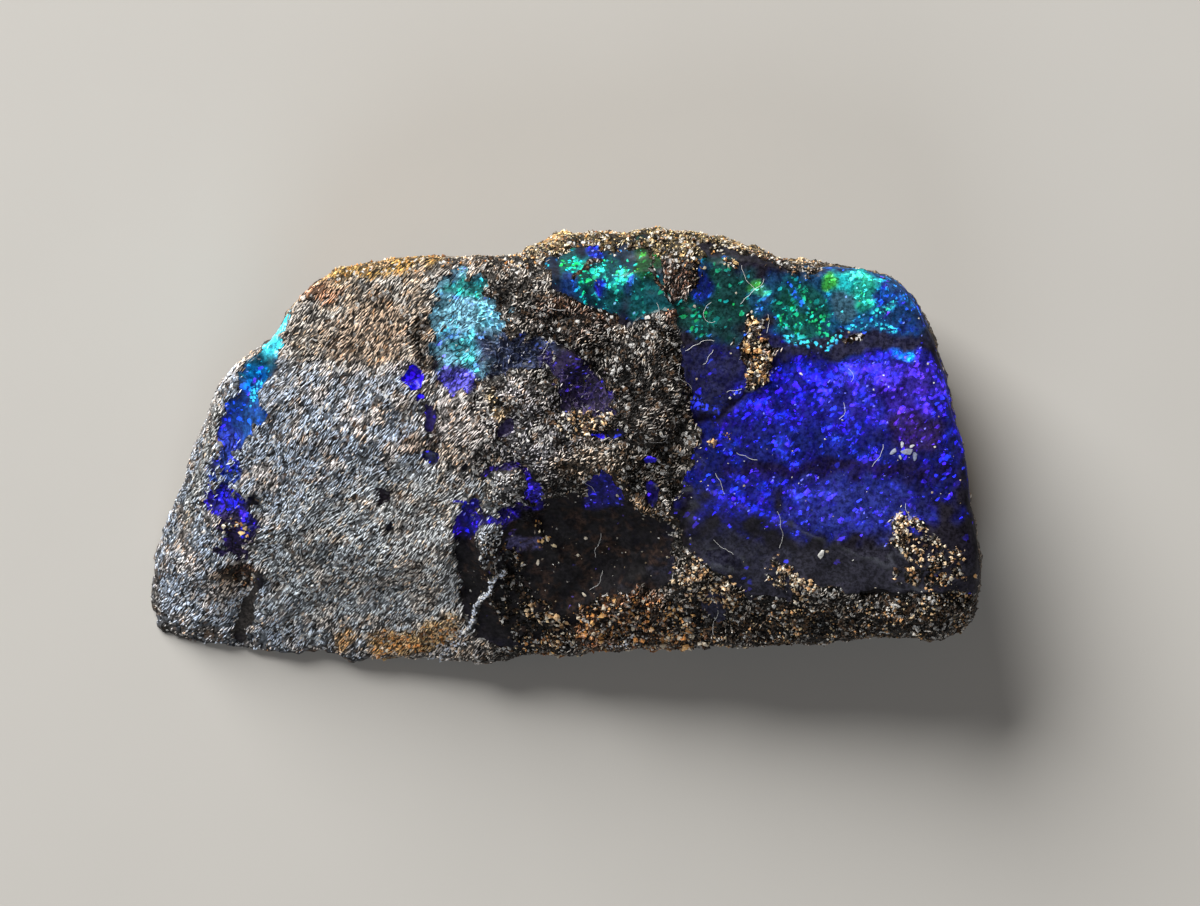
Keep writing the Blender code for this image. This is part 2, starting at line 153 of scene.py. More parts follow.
# ---------------------------------------------------------------- colours, as seen on a screen, 0 to 255
# Washes of the glass: centre, radii, turn, body colour, colour of its flashes, and how much it flashes.
OPAL_WASHES = {
    "hollow": ((-0.1, -6.1), (6.6, 4.6), 0, (25, 23, 25), (60, 50, 120), 0.03),
    "blue face": ((13.4, 0.9), (8.4, 4.7), 0, (24, 27, 78), (30, 36, 255), 0.66),
    "blue, left": ((7.9, 3.65), (2.1, 2.0), 0, (34, 35, 62), (44, 56, 230), 0.34),
    "royal blue": ((12.9, 2.4), (3.6, 1.9), 0, (24, 27, 104), (28, 32, 255), 0.90),
    "azure": ((11.9, -0.35), (4.2, 1.5), 0, (24, 30, 88), (40, 58, 255), 0.72),
    "azure, left": ((7.8, -0.85), (1.8, 1.6), 0, (24, 28, 76), (34, 54, 255), 0.55),
    "blue, right": ((16.15, 3.15), (2.7, 2.1), 0, (36, 36, 122), (44, 46, 255), 1.15),
    "violet": ((17.3, 2.9), (1.4, 1.5), 0, (42, 32, 116), (72, 48, 250), 0.95),
    "dark streak": ((13.65, -1.2), (5.6, 0.55), 0, (26, 22, 50), (50, 40, 240), 0.30),
    "dark, right": ((17.75, 0.8), (1.3, 0.9), 0, (38, 30, 60), (84, 46, 235), 0.50),
    "low blue": ((14.4, -3.0), (3.8, 1.5), 0, (36, 44, 110), (50, 50, 255), 0.60),
    "low blue, left": ((9.0, -2.6), (1.9, 1.0), 0, (28, 30, 100), (30, 40, 255), 0.80),
    "low potch": ((13.9, -6.5), (7.8, 1.5), 0, (46, 45, 56), (50, 40, 160), 0.02),
    "low potch, left": ((8.65, -5.85), (3.0, 1.2), 0, (44, 44, 56), (40, 40, 200), 0.06),
    "cyan spot": ((16.9, 4.7), (0.45, 0.38), 0, (20, 120, 255), (30, 170, 255), 1.20),
    "green, middle": ((7.4, 7.4), (2.4, 1.9), 0, (24, 58, 58), (20, 150, 110), 0.50),
    "blue in the green": ((6.9, 8.15), (0.7, 0.9), 0, (24, 40, 90), (30, 60, 230), 0.60),
    "green, left": ((2.15, 8.5), (2.8, 1.7), 0, (14, 38, 58), (16, 190, 150), 0.62),
    "mint, left": ((2.4, 8.4), (1.1, 1.0), 0, (14, 62, 74), (60, 250, 200), 1.20),
    "mint edge": ((0.5, 8.8), (0.7, 1.0), 0, (16, 66, 70), (10, 215, 150), 0.85),
    "blue by the mint": ((3.55, 7.95), (0.6, 0.65), 0, (28, 44, 86), (60, 84, 250), 1.00),
    "blue in the mint": ((1.95, 8.1), (0.32, 0.45), 0, (16, 34, 84), (30, 60, 255), 1.30),
    "blue over the mint": ((1.6, 9.75), (0.45, 0.28), 0, (18, 34, 80), (36, 64, 250), 1.10),
    "blue foot of the mint": ((0.3, 8.05), (0.6, 0.65), 0, (24, 46, 88), (30, 96, 220), 0.50),
    "leaf green": ((4.3, 9.3), (0.8, 0.9), 0, (22, 56, 34), (30, 170, 50), 0.50),
    "low green": ((4.4, 7.5), (1.7, 0.9), 0, (18, 60, 68), (20, 140, 120), 0.50),
    "lime": ((9.9, 8.0), (0.5, 0.35), 0, (60, 150, 60), (120, 230, 80), 1.00),
    "turquoise": ((14.5, 7.15), (4.2, 2.0), 0, (26, 72, 116), (20, 160, 215), 0.62),
    "green, right": ((12.0, 7.0), (1.5, 1.6), 0, (20, 66, 66), (20, 170, 110), 0.70),
    "mint, right": ((14.2, 8.2), (1.15, 0.65), 0, (30, 160, 165), (90, 255, 230), 1.25),
    "mint edge, right": ((15.1, 7.7), (0.6, 0.8), 0, (30, 130, 120), (60, 240, 190), 1.00),
    "lime, right": ((13.35, 8.3), (0.42, 0.5), 0, (50, 140, 60), (110, 225, 80), 1.00),
    "mottled glass": ((14.0, 7.2), (0.55, 0.75), 0, (58, 92, 112), (60, 160, 200), 0.35),
    "royal spot, right": ((16.6, 7.1), (0.45, 0.42), 0, (30, 40, 160), (40, 60, 255), 1.10),
    "blue corner": ((17.15, 7.0), (1.2, 1.3), 0, (26, 50, 90), (30, 120, 255), 0.80),
    "band": ((14.3, 5.15), (4.6, 0.50), 4, (42, 42, 62), (40, 50, 220), 0.10),
    "teal": ((-4.6, 6.4), (2.0, 2.4), 0, (122, 180, 204), (80, 205, 235), 0.55),
    "teal gleam": ((-3.7, 6.75), (0.6, 0.5), 30, (110, 200, 235), (150, 235, 255), 1.15),
    "teal green": ((-4.7, 8.0), (0.9, 0.55), 0, (50, 124, 124), (40, 225, 195), 0.75),
    "low teal": ((-4.7, 4.9), (0.7, 0.9), 0, (60, 130, 144), (80, 220, 205), 0.60),
    "haze": ((-1.85, 4.9), (2.2, 1.3), 0, (52, 60, 84), (80, 100, 210), 0.18),
    "vein tip": ((-14.1, 5.9), (1.1, 1.8), -40, (60, 200, 225), (150, 245, 255), 0.90),
    "vein elbow": ((-15.35, 4.1), (0.9, 0.8), 0, (14, 60, 80), (20, 170, 210), 0.40),
    "vein, azure": ((-15.25, 2.8), (0.8, 1.3), 0, (6, 62, 112), (12, 130, 245), 0.70),
    "vein, middle": ((-15.8, 1.3), (1.4, 1.2), 0, (24, 66, 124), (20, 84, 250), 0.50),
    "vein, royal": ((-16.8, 0.0), (0.8, 1.7), 0, (34, 52, 136), (30, 36, 255), 0.60),
    "vein, lower": ((-16.8, -1.7), (0.9, 1.5), 0, (40, 62, 120), (30, 50, 250), 0.60),
    "vein knot": ((-17.0, -2.6), (1.2, 0.85), 0, (26, 24, 98), (34, 26, 255), 0.95),
    "vein end": ((-16.3, -4.5), (1.6, 1.25), 0, (40, 32, 54), (50, 36, 220), 0.16),
    "vein end, blue": ((-15.7, -3.75), (0.42, 0.55), 0, (28, 26, 104), (36, 34, 255), 1.00),
    "blue square": ((-7.4, 3.55), (0.8, 0.75), 0, (16, 10, 150), (40, 20, 255), 1.30),
    "blue dot": ((-7.05, 2.6), (0.4, 0.3), 0, (16, 10, 150), (40, 20, 255), 1.30),
    "milky blue": ((-5.35, 3.3), (0.9, 0.7), 0, (70, 66, 150), (90, 90, 255), 0.80),
    "dark oval": ((-6.6, 1.5), (0.6, 0.9), 0, (34, 28, 60), (50, 40, 220), 0.40),
    "dark pool": ((-6.5, -0.4), (0.6, 0.5), 0, (30, 30, 50), (50, 40, 240), 0.40),
    "violet patch": ((-2.85, 1.0), (0.6, 0.6), 0, (60, 54, 80), (80, 60, 200), 0.10),
    "violet hollow": ((1.0, 3.25), (2.0, 2.2), 0, (52, 44, 68), (60, 46, 210), 0.28),
    "bright dot": ((1.9, 0.6), (0.5, 0.3), 0, (20, 20, 200), (40, 40, 255), 1.30),
    "arc": ((-2.5, -1.6), (1.5, 1.2), 0, (40, 32, 76), (74, 46, 220), 0.30),
    "arc, right": ((-1.4, -2.1), (0.5, 0.7), 20, (40, 36, 130), (60, 44, 255), 0.85),
    "hook": ((-4.85, -3.4), (0.8, 1.1), 0, (22, 18, 84), (40, 26, 255), 0.70),
    "small blue": ((-2.85, -3.3), (0.7, 0.5), 0, (28, 24, 90), (44, 36, 250), 0.60),
    "lavender": ((-1.9, -4.8), (0.8, 0.4), 0, (84, 80, 120), (80, 80, 200), 0.10),
    "blue haze": ((2.15, -2.0), (1.1, 0.9), 0, (28, 28, 92), (40, 40, 220), 0.35),
    "blue pit": ((4.5, -2.15), (0.6, 0.7), 0, (24, 20, 70), (50, 40, 230), 0.50),
    "blue point": ((4.5, -0.6), (0.3, 0.3), 0, (30, 30, 180), (60, 50, 255), 1.20),
    "seam": ((-15.7, -8.0), (0.8, 2.0), 0, (60, 56, 54), (60, 60, 80), 0.00),
    "low glass": ((7.7, -7.9), (0.9, 0.8), 0, (48, 48, 66), (50, 50, 160), 0.05),
    "pit": ((-8.85, -2.35), (0.5, 0.6), 0, (56, 50, 60), (60, 60, 80), 0.00),
}
# Washes of the ironstone: centre, radii, turn and colour.
IRON_WASHES = {
    "lobe": ((-13.1, -3.6), (8.6, 8.0), 20, (198, 211, 229)),
    # Painted light: the low lobe is made near white, to make up for the lamp's light falling off where the
    # lobe slopes away from it.
    "low lobe, painted light": ((-9.0, -5.4), (6.6, 4.0), 10, (238, 247, 255)),
    "upper lobe": ((-10.6, 7.4), (5.0, 3.0), 10, (160, 155, 149)),
    "rust": ((-9.5, 5.8), (2.4, 1.7), 20, (160, 143, 127)),
    "rust, left": ((-12.1, 7.9), (0.9, 0.7), 0, (196, 148, 116)),
    "left strip": ((-18.35, -1.1), (1.3, 3.6), -12, (184, 195, 210)),
    "hollow": ((-0.2, -6.9), (5.2, 3.6), 0, (46, 38, 34)),
    "finger": ((-3.6, -4.7), (0.8, 1.3), 0, (196, 204, 216)),
    "upper knob": ((0.5, 6.5), (2.6, 1.5), -10, (116, 101, 94)),
    "great knob": ((3.9, 3.15), (2.9, 3.1), 0, (64, 57, 53)),
    "left knobs": ((-4.6, 1.15), (1.9, 2.2), 0, (194, 187, 184)),
    "middle": ((-0.85, 0.4), (2.5, 2.3), 0, (148, 146, 152)),
    "tan ledge": ((1.9, -0.85), (2.2, 1.2), 0, (158, 142, 126)),
    "right of the ledge": ((4.65, -1.5), (1.3, 1.8), 0, (62, 52, 44)),
    "brown cluster": ((3.6, -8.6), (3.0, 1.4), 0, (190, 128, 84)),
    "front crust": ((10.9, -8.6), (9.5, 1.5), 0, (58, 47, 40)),
    "ochre foot": ((-8.2, -9.7), (1.5, 0.65), 10, (255, 208, 140)),
    "ochre foot, right": ((-6.3, -9.2), (1.4, 0.7), 25, (255, 216, 156)),
    "ochre, left": ((-10.9, -9.5), (0.6, 0.6), 0, (250, 206, 150)),
    "upper inclusion": ((5.6, 9.0), (2.6, 2.0), 0, (78, 52, 40)),
    "middle inclusion": ((9.65, 4.8), (1.2, 2.0), 0, (112, 80, 58)),
    "brown back": ((10.0, 9.0), (1.5, 1.3), 0, (84, 56, 38)),
    "back crust": ((4.4, 10.4), (8.5, 0.9), 0, (232, 206, 150)),
    "back crust, left": ((-9.5, 9.15), (3.6, 0.6), 8, (216, 178, 108)),
    "brown pocket": ((-16.3, -6.15), (1.1, 0.6), 0, (66, 46, 36)),
    "dark joint, upper": ((-0.2, 5.6), (1.5, 0.35), -24, (40, 32, 30)),
    "dark joint, middle": ((-3.1, 2.4), (0.5, 0.9), 20, (44, 38, 40)),
    "dark joint, right": ((2.6, 0.6), (0.9, 0.45), 10, (40, 34, 40)),
    "dark joint, low": ((-0.4, -1.7), (1.6, 0.35), 0, (44, 36, 34)),
    "dark joint, left": ((-6.4, 0.4), (0.5, 1.1), 0, (46, 40, 42)),
    # Painted light: near white, to make up for the lamp's light falling off where the lobe slopes away from
    # it.
    "lobe, right, painted light": ((-6.6, -4.4), (2.2, 3.4), 0, (248, 252, 255)),
    "blue-grey spot": ((-7.45, 0.35), (0.55, 0.5), 0, (96, 98, 116)),
    "cream spot": ((-3.45, 2.6), (0.35, 0.3), 0, (236, 208, 160)),
    "cream spot, low": ((-3.2, 1.95), (0.45, 0.28), 0, (226, 196, 150)),
    "tan knob": ((0.9, 1.6), (0.8, 0.5), 0, (160, 134, 106)),
    "blob": ((-2.35, -1.9), (0.75, 0.85), 0, (206, 206, 210)),
    "orange ridge": ((5.6, 6.75), (0.5, 0.25), 40, (170, 98, 56)),
    "cream sliver": ((1.4, 9.1), (0.6, 0.18), 40, (214, 190, 160)),
    "pale knob": ((-1.9, 2.9), (1.0, 0.7), 0, (178, 174, 178)),
}
# What shows where no wash lies: the glass, its flashes and how much it flashes, and the ironstone.
POTCH = (30, 28, 36)
DIM_FLAME = (40, 40, 220)
DIM_FIRE = 0.02
IRON = (166, 158, 150)
# How ragged the rim of each wash is, and how it fades there, in radii of the wash.
WASH_RAGS = ((0.8, 0.30, 41),)
WASH_BLEND = (-0.30, 0.25)
# The skin under a crust: its colour, how strong, and where along -Y it begins. The back rim stays pale.
CRUST_SKIN = (74, 56, 40)
CRUST_TINT = 0.6
CRUST_TINT_FROM = (-6.0, -4.0)
# Drifts over the ironstone. Waves have a wave length, a reach and a seed, and blends a beginning and an end.
PATCH_WAVES = ((0.75, 0.8, 47), (0.33, 0.6, 48))
PATCH_BLEND = (-0.55, 0.50)
PATCHES = (0.50, 1.50)
LOBE_EVENNESS = 0.75
TAN_DRIFT = (206, 184, 160)
TAN_WAVES = ((1.5, 0.7, 49), (0.5, 0.6, 50))
TAN_BLEND = (0.10, 0.55)
TAN_STRENGTH = 0.55
# Painted shade: how much the ironstone's colour is darkened in the crevices between its cobbles.
CREVICE_SHADE = 0.6
# Brown in the broken glass of the hollow.
HOLLOW_BROWN = (52, 38, 31)
BROWN_WAVES = ((0.9, 0.6, 43), (0.3, 0.7, 44))
BROWN_BLEND = (0.10, 0.50)
BROWN_STRENGTH = 0.8
BROKEN_TINT_BLEND = (-0.15, 0.20)
BROKEN_DULLNESS = 0.85
# The walls, with tan and dark drifts: colour, blend, strength.
IRON_SIDE = (104, 84, 66)
WALL_WAVES = ((3.1, 0.5, 51), (1.2, 0.35, 52))
WALL_TAN = ((140, 104, 72), (0.05, 0.45), 0.7)
WALL_DARK = ((70, 58, 50), (0.05, 0.40), 0.8)
# At the back by Y and height, in front by -Y and X, at the left by -X and height: colour, blends, strength.
BACK_CRUST = ((198, 164, 108), (4.0, 6.5), (4.5, 7.5), 0.9)
BACK_CRUST_WANDER = 2.5
FRONT_SKIN = ((74, 60, 48), (6.0, 8.0), (1.0, 4.0), 0.8)
LEFT_END = ((176, 172, 168), (15.5, 17.5), (1.0, 3.0), 0.8)

# ---------------------------------------------------------------- sand
# Points of a stroke, half width, how many grains, their mean size, and their kind.
SAND = {
    "back crust, left": ([(-11.6, 8.75), (-10.5, 9.1), (-7.6, 9.15), (-5.6, 9.35), (-2.1, 9.55)], 0.45,
                          620, 0.14, "straw"),
    "back crust": ([(-2.0, 9.6), (-0.85, 10.1), (0.5, 10.35), (2.9, 10.55), (4.9, 10.6), (6.9, 10.45),
                    (8.65, 10.1)], 0.55, 1150, 0.15, "cream"),
    "back crust, right": ([(8.65, 10.05), (9.9, 9.55), (11.4, 9.05), (12.8, 8.8)], 0.30, 220, 0.14,
                           "cream"),
    "back dots": ([(14.6, 8.85), (15.5, 8.8), (15.9, 8.3)], 0.12, 7, 0.34, "cream"),
    "ring": ([(8.2, 9.3), (8.5, 9.05), (8.75, 9.3)], 0.20, 16, 0.22, "cream"),
    "upper inclusion": ([(6.2, 9.3), (6.5, 8.6)], 0.40, 40, 0.18, "cream"),
    "middle inclusion": ([(9.6, 6.0), (9.7, 4.9), (9.8, 3.4)], 0.50, 150, 0.22, "gold"),
    "tan sliver": ([(7.3, 0.35), (8.25, 0.55)], 0.14, 16, 0.15, "gold"),
    "front crust, left": ([(-0.1, -10.0), (3.9, -9.7), (7.9, -9.3), (11.4, -8.95)], 0.80, 1650, 0.13,
                           "dark tan"),
    "front crust, right": ([(11.4, -8.85), (14.4, -8.6), (17.15, -8.35), (20.0, -8.1)], 0.85, 1950, 0.13,
                            "dark tan"),
    "brown cluster": ([(1.9, -8.8), (3.0, -8.2), (4.6, -8.6), (6.0, -9.2)], 0.95, 460, 0.25, "rust"),
    "brown cluster, fine": ([(1.9, -8.8), (3.0, -8.2), (4.6, -8.6), (6.0, -9.2)], 0.90, 520, 0.13,
                             "rust"),
    "violet crumbs": ([(0.2, 1.1), (1.2, 1.0), (2.2, 1.3)], 0.45, 120, 0.16, "tan"),
    "hollow crumbs": ([(-3.0, -5.8), (-2.5, -7.4), (-1.4, -9.2)], 1.00, 260, 0.12, "dark tan"),
    "hollow crumbs, low": ([(-0.9, -8.0), (-0.3, -8.5), (-0.2, -9.0)], 0.50, 100, 0.21, "tan"),
    "hollow crumbs, foot": ([(-1.6, -9.9), (0.2, -9.6)], 0.40, 90, 0.20, "rust"),
    "tan cluster, left": ([(6.4, -6.35), (7.3, -7.0), (8.3, -7.4)], 0.70, 340, 0.17, "tan"),
    "tan cluster, middle": ([(10.7, -6.0), (11.4, -6.6), (12.15, -7.1)], 0.50, 210, 0.16, "tan"),
    "tan cluster, right": ([(17.15, -4.1), (18.0, -4.85), (19.15, -5.6)], 0.75, 340, 0.17, "tan"),
    "red cluster, right": ([(17.15, -6.35), (18.4, -6.5), (19.65, -6.3)], 0.45, 60, 0.15, "brown"),
    "hollow grit": ([(-4.1, -7.6), (-2.1, -7.1), (-0.1, -5.6), (1.9, -6.35), (3.9, -6.1)], 1.30, 90, 0.10,
                     "white"),
    "left grit": ([(-1.1, -3.8), (-0.85, -4.65)], 0.25, 14, 0.17, "cream"),
    "vein grit": ([(-17.4, -4.0), (-16.8, -3.8), (-16.1, -3.7), (-15.7, -4.2)], 0.18, 15, 0.28, "cream"),
    "pocket grit": ([(-17.0, -6.1), (-16.3, -6.5), (-15.6, -6.35)], 0.30, 26, 0.13, "brown"),
    "ochre foot": ([(-8.85, -9.85), (-7.1, -9.5), (-5.6, -9.0)], 0.45, 260, 0.17, "straw"),
    # Painted highlight: the gleam along the raised edge, drawn as snow-white grains.
    "gleaming edge": ([(-3.1, -5.7), (-3.4, -6.5), (-3.85, -7.4), (-4.4, -8.3), (-4.6, -8.9)], 0.05, 240,
                    0.11, "snow"),
    "white foot": ([(-6.3, -10.2), (-5.4, -9.8), (-4.7, -9.2)], 0.30, 90, 0.15, "snow"),
    "white cluster": ([(2.6, -9.8), (3.1, -9.45), (3.6, -9.4)], 0.12, 50, 0.15, "snow"),
    "face grit": ([(6.9, -1.6), (9.9, -1.1), (13.9, -1.6), (18.4, -1.35)], 1.60, 60, 0.07, "white"),
}
# Kinds that lie loose on the skin, without a crust under them.
UNCRUSTED = ("white", "straw", "snow")
# How dark sand gets between its paler clumps: as a rule, and for the kinds that differ.
SAND_DARK = 0.65
SAND_DARKEST = {"dark tan": 0.12, "snow": 1.30, "tan": 0.90}
SAND_CLUMPS = ((1.1, 1.0, 76), (0.45, 0.6, 77))
SAND_CLUMP_BLEND = (-0.25, 0.40)
SAND_LIGHT = 1.3
# How far a stroke of sand reaches past its half width, and how it thins out there, in half widths.
SAND_REACH = 1.3
SAND_FADE = 0.3
SAND_LEAST_TILT = -0.2
SAND_OFF_CRUST = 0.12
SAND_SCATTER = (0.3, 1.6)
SAND_SHAPES = (0.5, 1.5)
SAND_HEAP = (-0.5, 0.5)
SAND_COLOURS = {
    "gold": [(246, 206, 146), (224, 174, 112), (255, 238, 202), (140, 100, 64), (52, 40, 30)],
    "straw": [(255, 212, 150), (246, 176, 104), (255, 242, 216), (214, 146, 84), (110, 74, 46)],
    "cream": [(250, 232, 196), (240, 202, 142), (214, 156, 92), (255, 250, 236), (120, 82, 52)],
    "brown": [(176, 126, 80), (132, 90, 58), (214, 168, 120), (64, 46, 34), (240, 212, 172)],
    "rust": [(238, 186, 120), (208, 146, 84), (255, 240, 214), (126, 82, 50), (40, 30, 26)],
    "tan": [(240, 214, 176), (206, 170, 126), (255, 246, 226), (130, 98, 66), (60, 46, 38)],
    "dark tan": [(250, 190, 130), (44, 36, 30), (255, 230, 184), (30, 26, 24), (255, 250, 240),
                 (255, 214, 160),
                 (84, 66, 52)],
    "snow": [(255, 255, 255), (232, 240, 252), (206, 216, 236)],
    "white": [(240, 238, 232), (206, 196, 178), (180, 160, 130)],
}

# ---------------------------------------------------------------- lines
# Lines drawn on the skin: points, half width, colour, and how deep the line is cut (below 0: a ridge).
LINES = {
    "long crack": ([(10.5, 3.2), (9.9, 3.0), (9.35, 2.85), (8.75, 2.3), (8.15, 1.75), (7.2, 1.45),
                    (6.3, 1.3)], 0.16, (14, 11, 14), 0.06),
    "rust line": ([(4.35, 9.95), (4.55, 9.1), (4.8, 8.4), (5.3, 7.6), (5.75, 7.0)], 0.13, (104, 58, 36),
                   -0.03),
    "brown sliver": ([(0.65, 8.4), (1.1, 9.0), (1.9, 9.5)], 0.14, (168, 124, 100), -0.03),
    "gully": ([(-6.9, 6.3), (-7.25, 5.5), (-7.1, 4.8), (-6.75, 4.2)], 0.24, (30, 22, 18), 0.22),
    "groove": ([(-0.05, 5.1), (0.6, 4.8), (1.45, 4.1)], 0.20, (34, 28, 26), 0.14),
    "brown band": ([(-1.05, 7.2), (0.15, 7.15), (1.4, 6.9), (2.5, 6.55)], 0.30, (96, 62, 42), -0.03),
    "front ledge": ([(15.0, -7.4), (16.9, -7.5), (18.4, -7.45), (20.2, -7.4)], 0.20, (22, 18, 16), 0.18),
    "tan ridge": ([(2.4, -1.0), (3.3, -2.45), (4.35, -2.9), (5.3, -3.2), (5.75, -3.9)], 0.22,
                   (180, 148, 112), -0.14),
    # The raised ridge is real; its white colour is a painted highlight, the gleam along its edge.
    "gleaming edge": ([(-3.05, -5.6), (-3.3, -6.4), (-3.75, -7.3), (-4.35, -8.3), (-4.6, -9.0)], 0.18,
                    (246, 250, 255), -0.20),
    "vein rim": ([(-17.0, 2.4), (-17.4, 1.15), (-17.8, -0.35), (-18.3, -2.1), (-18.6, -3.6)], 0.22,
                  (216, 218, 216), -0.06),
    "chip, rust": ([(14.25, 5.25), (14.7, 5.35), (15.15, 5.4)], 0.20, (120, 76, 50), -0.05),
}
LINE_BLEND = (-0.10, 0.12)
# How strong the colour of a cut and of a ridge is, and how slowly it fades to the sides.
CUT_STRENGTH = 0.9
RIDGE_STRENGTH = 0.75
LINE_FADE = 0.6
# Rows of bright points in the glass: points, half width, colour of the flashes.
BRIGHT_ROWS = {
    "upper row": ([(14.4, 5.85), (15.2, 6.0), (16.1, 6.0), (16.75, 6.05)], 0.16, (60, 235, 240)),
    "middle row": ([(15.5, 6.7), (16.1, 7.0), (16.55, 7.2)], 0.18, (60, 240, 220)),
    "lower row": ([(11.35, 5.65), (12.2, 5.3), (13.1, 5.15), (13.95, 5.5)], 0.24, (60, 210, 240)),
    "green row": ([(11.9, 7.4), (12.65, 6.5), (13.4, 5.7)], 0.34, (30, 190, 110)),
    "blue slash": ([(11.15, 8.25), (11.65, 7.55), (12.1, 6.8)], 0.18, (40, 90, 255)),
    "low row": ([(6.4, 2.4), (6.9, 2.1), (7.45, 1.85)], 0.26, (50, 70, 255)),
    "vein row": ([(-15.0, 3.25), (-15.3, 2.7), (-15.65, 2.25)], 0.22, (60, 200, 255)),
}

ROW_BLEND = (-0.12, 0.10)

# ---------------------------------------------------------------- heights of the relief, in millimetres
IRON_STANDS = 0.13
# Cobbles of the ironstone: how wide and how high they are, and how low a spot counts as a crevice.
COBBLE_WIDTH = 0.38
COBBLE_HEIGHT = 0.14
COBBLE_SEED = 3
CREVICES = (0.40, 0.05)
# Lumps of the ironstone: wave length, height, seed. The broad ones aren't calmed in the smooth lobe.
LUMPS = ((2.3, 0.16, 11), (1.0, 0.13, 12), (0.5, 0.07, 13))
BROAD_LUMP = 2.0
# The valleys and the tops of those lumps, in millimetres, and how much the colour is darkened in the valleys
# and lightened on the tops, as painted shade and painted light.
MOUNDS = (-0.16, 0.14)
MOUND_PAINTED_SHADES = (0.50, 1.45)
# How much of the small relief is left in the smooth lobe.
LOBE_CALM = 0.40
GLASS_WAVES = ((2.6, 0.10, 21), (0.9, 0.035, 22), (0.4, 0.010, 23))
# Scallops of broken glass: in full inside a spot (centre, radii, turn), and this share of them elsewhere.
SCALLOPS = ((1.9, 0.26, 31), (0.75, 0.09, 32), (0.36, 0.035, 33))
SCALLOP_RIM = 0.35
SCALLOPS_ELSEWHERE = 0.14
BROKEN_GLASS = ((0.4, -6.2), (6.0, 3.6), 0)
BROKEN_REACH = 1.25
BROKEN_BLEND = (-0.15, 0.25)
# The grain of the stone slants this way, and is drawn out so much. It begins left of the knobs.
GRAIN_DIRECTION = math.radians(50.0)
GRAIN_STRETCH = 1.9
GRAINED_FROM = (3.0, 5.0)
# The underside and the lowest rim keep little of the relief, and the relief above the crown is held back.
UNDER_CALM = 0.6
UNDER_LIFT = 0.25
BASE_REACH = 0.45
CROWN = 10.55
CROWN_SHARE = 0.35

# ---------------------------------------------------------------- how the zones end
# How far drawn edges wander: wave length, reach, seed.
WANDERS = ((0.9, 0.20, 61), (0.3, 0.07, 63))
# A face is halved where its normal's Z is above the first. The pairs say what counts as top, level and under.
TOP_FACE_TILT = 0.42
TOP_TILTS = (-0.06, 0.14)
LEVEL_TILTS = (0.86, 0.97)
UNDER_TILTS = (0.3, 0.7)
EDGE_BLEND = 0.12
# Extra raggedness of the outlines, many times stronger where opal is a thin film (centre, radii, turn).
RAGS = ((0.6, 0.10, 65), (0.28, 0.08, 66))
TATTERS = ((0.45, 0.22, 68), (0.22, 0.12, 69))
FILMS = [((-3.9, 5.6), (3.4, 3.0), -20), ((-16.6, -2.6), (1.5, 3.0), 0), ((-3.1, -2.2), (2.4, 1.5), 0),
         ((1.3, 2.6), (1.6, 1.5), -40)]
FILM_REACH = 1.2
FILM_BLEND = (-0.1, 0.3)
FILM_RAGS = 3.0
FILM_GRAINS = 0.30
FILM_LIFT = 1.7
FILM_VEIL = 0.6
# The smooth lobe ends on a wandering line at this X.
LOBE_END = -4.2
LOBE_WANDER = ((1.4, 0.9, 71),)
LOBE_BLEND = 0.5
# The crust breaks up in waves, and reaches past its stroke.
CRUST_MIDDLE = 0.5
CRUST_BREAKS = ((0.5, 0.6, 45), (0.22, 0.3, 46))
CRUST_COVER = (0.30, 0.55)
CRUST_REACH = 1.15
CRUST_BLEND = (-0.1, 0.25)
# On the walls, glass shows at the right above a height, and at the left end in a band. None shows in front.
WALL_GLASS_RIGHT = (11.0, 13.5)
WALL_GLASS_FROM = 7.3
WALL_GLASS_BLEND = 0.3
WALL_GLASS_LEFT = (12.0, 13.0)
WALL_GLASS_LEFT_BACK = (-5.0, -3.0)
WALL_GLASS_LEFT_FROM = (3.4, 4.2)
WALL_GLASS_FRONT = (6.5, 7.5)

# ---------------------------------------------------------------- ridges and grains, in millimetres
# How the model of each kind of grain is made: how flat, how loose its corners are, and its seed.
IRONSTONE_GRAIN = (0.85, 0.22, 5)
RIDGE_GRAIN = (1.0, 0.18, 6)
SAND_GRAIN = (0.7, 0.30, 9)
CHIP_GRAIN = (0.22, 0.45, 12)
GRAIN_WIDTH = 0.85
# The seeds of what is strewn.
LOBE_GRAIN_SEED = 71
SAND_SEED = 72
CHIP_SEED = 73
LINT_SEED = 74
KNOB_GRAIN_SEED = 75
RIDGE_SEED = 79
# Where the skin is steeper than this (its normal's Z), a heading is no longer held as seen from above.
STEEPEST = 0.25
# No grain is paler than this.
PALEST = 0.95
COLOUR_SPREAD = 0.16
# Long things follow the grain of the stone, which wanders this much in radians, more on the knobs.
HEADING_WAVE = 2.4
HEADING_SEED = 78
LOBE_WAVER = 0.16
KNOB_WAVER = 0.45

# The ridges of the ironstone, each a drawn-out grain, lie on a slanted grid: its spacing along and across,
# how far each is nudged, how far the grid reaches, and the part of it that the stone can fill.
RIDGE_SPACING = (0.24, 0.108)
RIDGE_NUDGE = 0.35
GRID_REACH = 24.0
STONE_REACH = (21.5, 11.5)
DROP_FROM = 30.0
LOWEST_RIDGE = 1.0
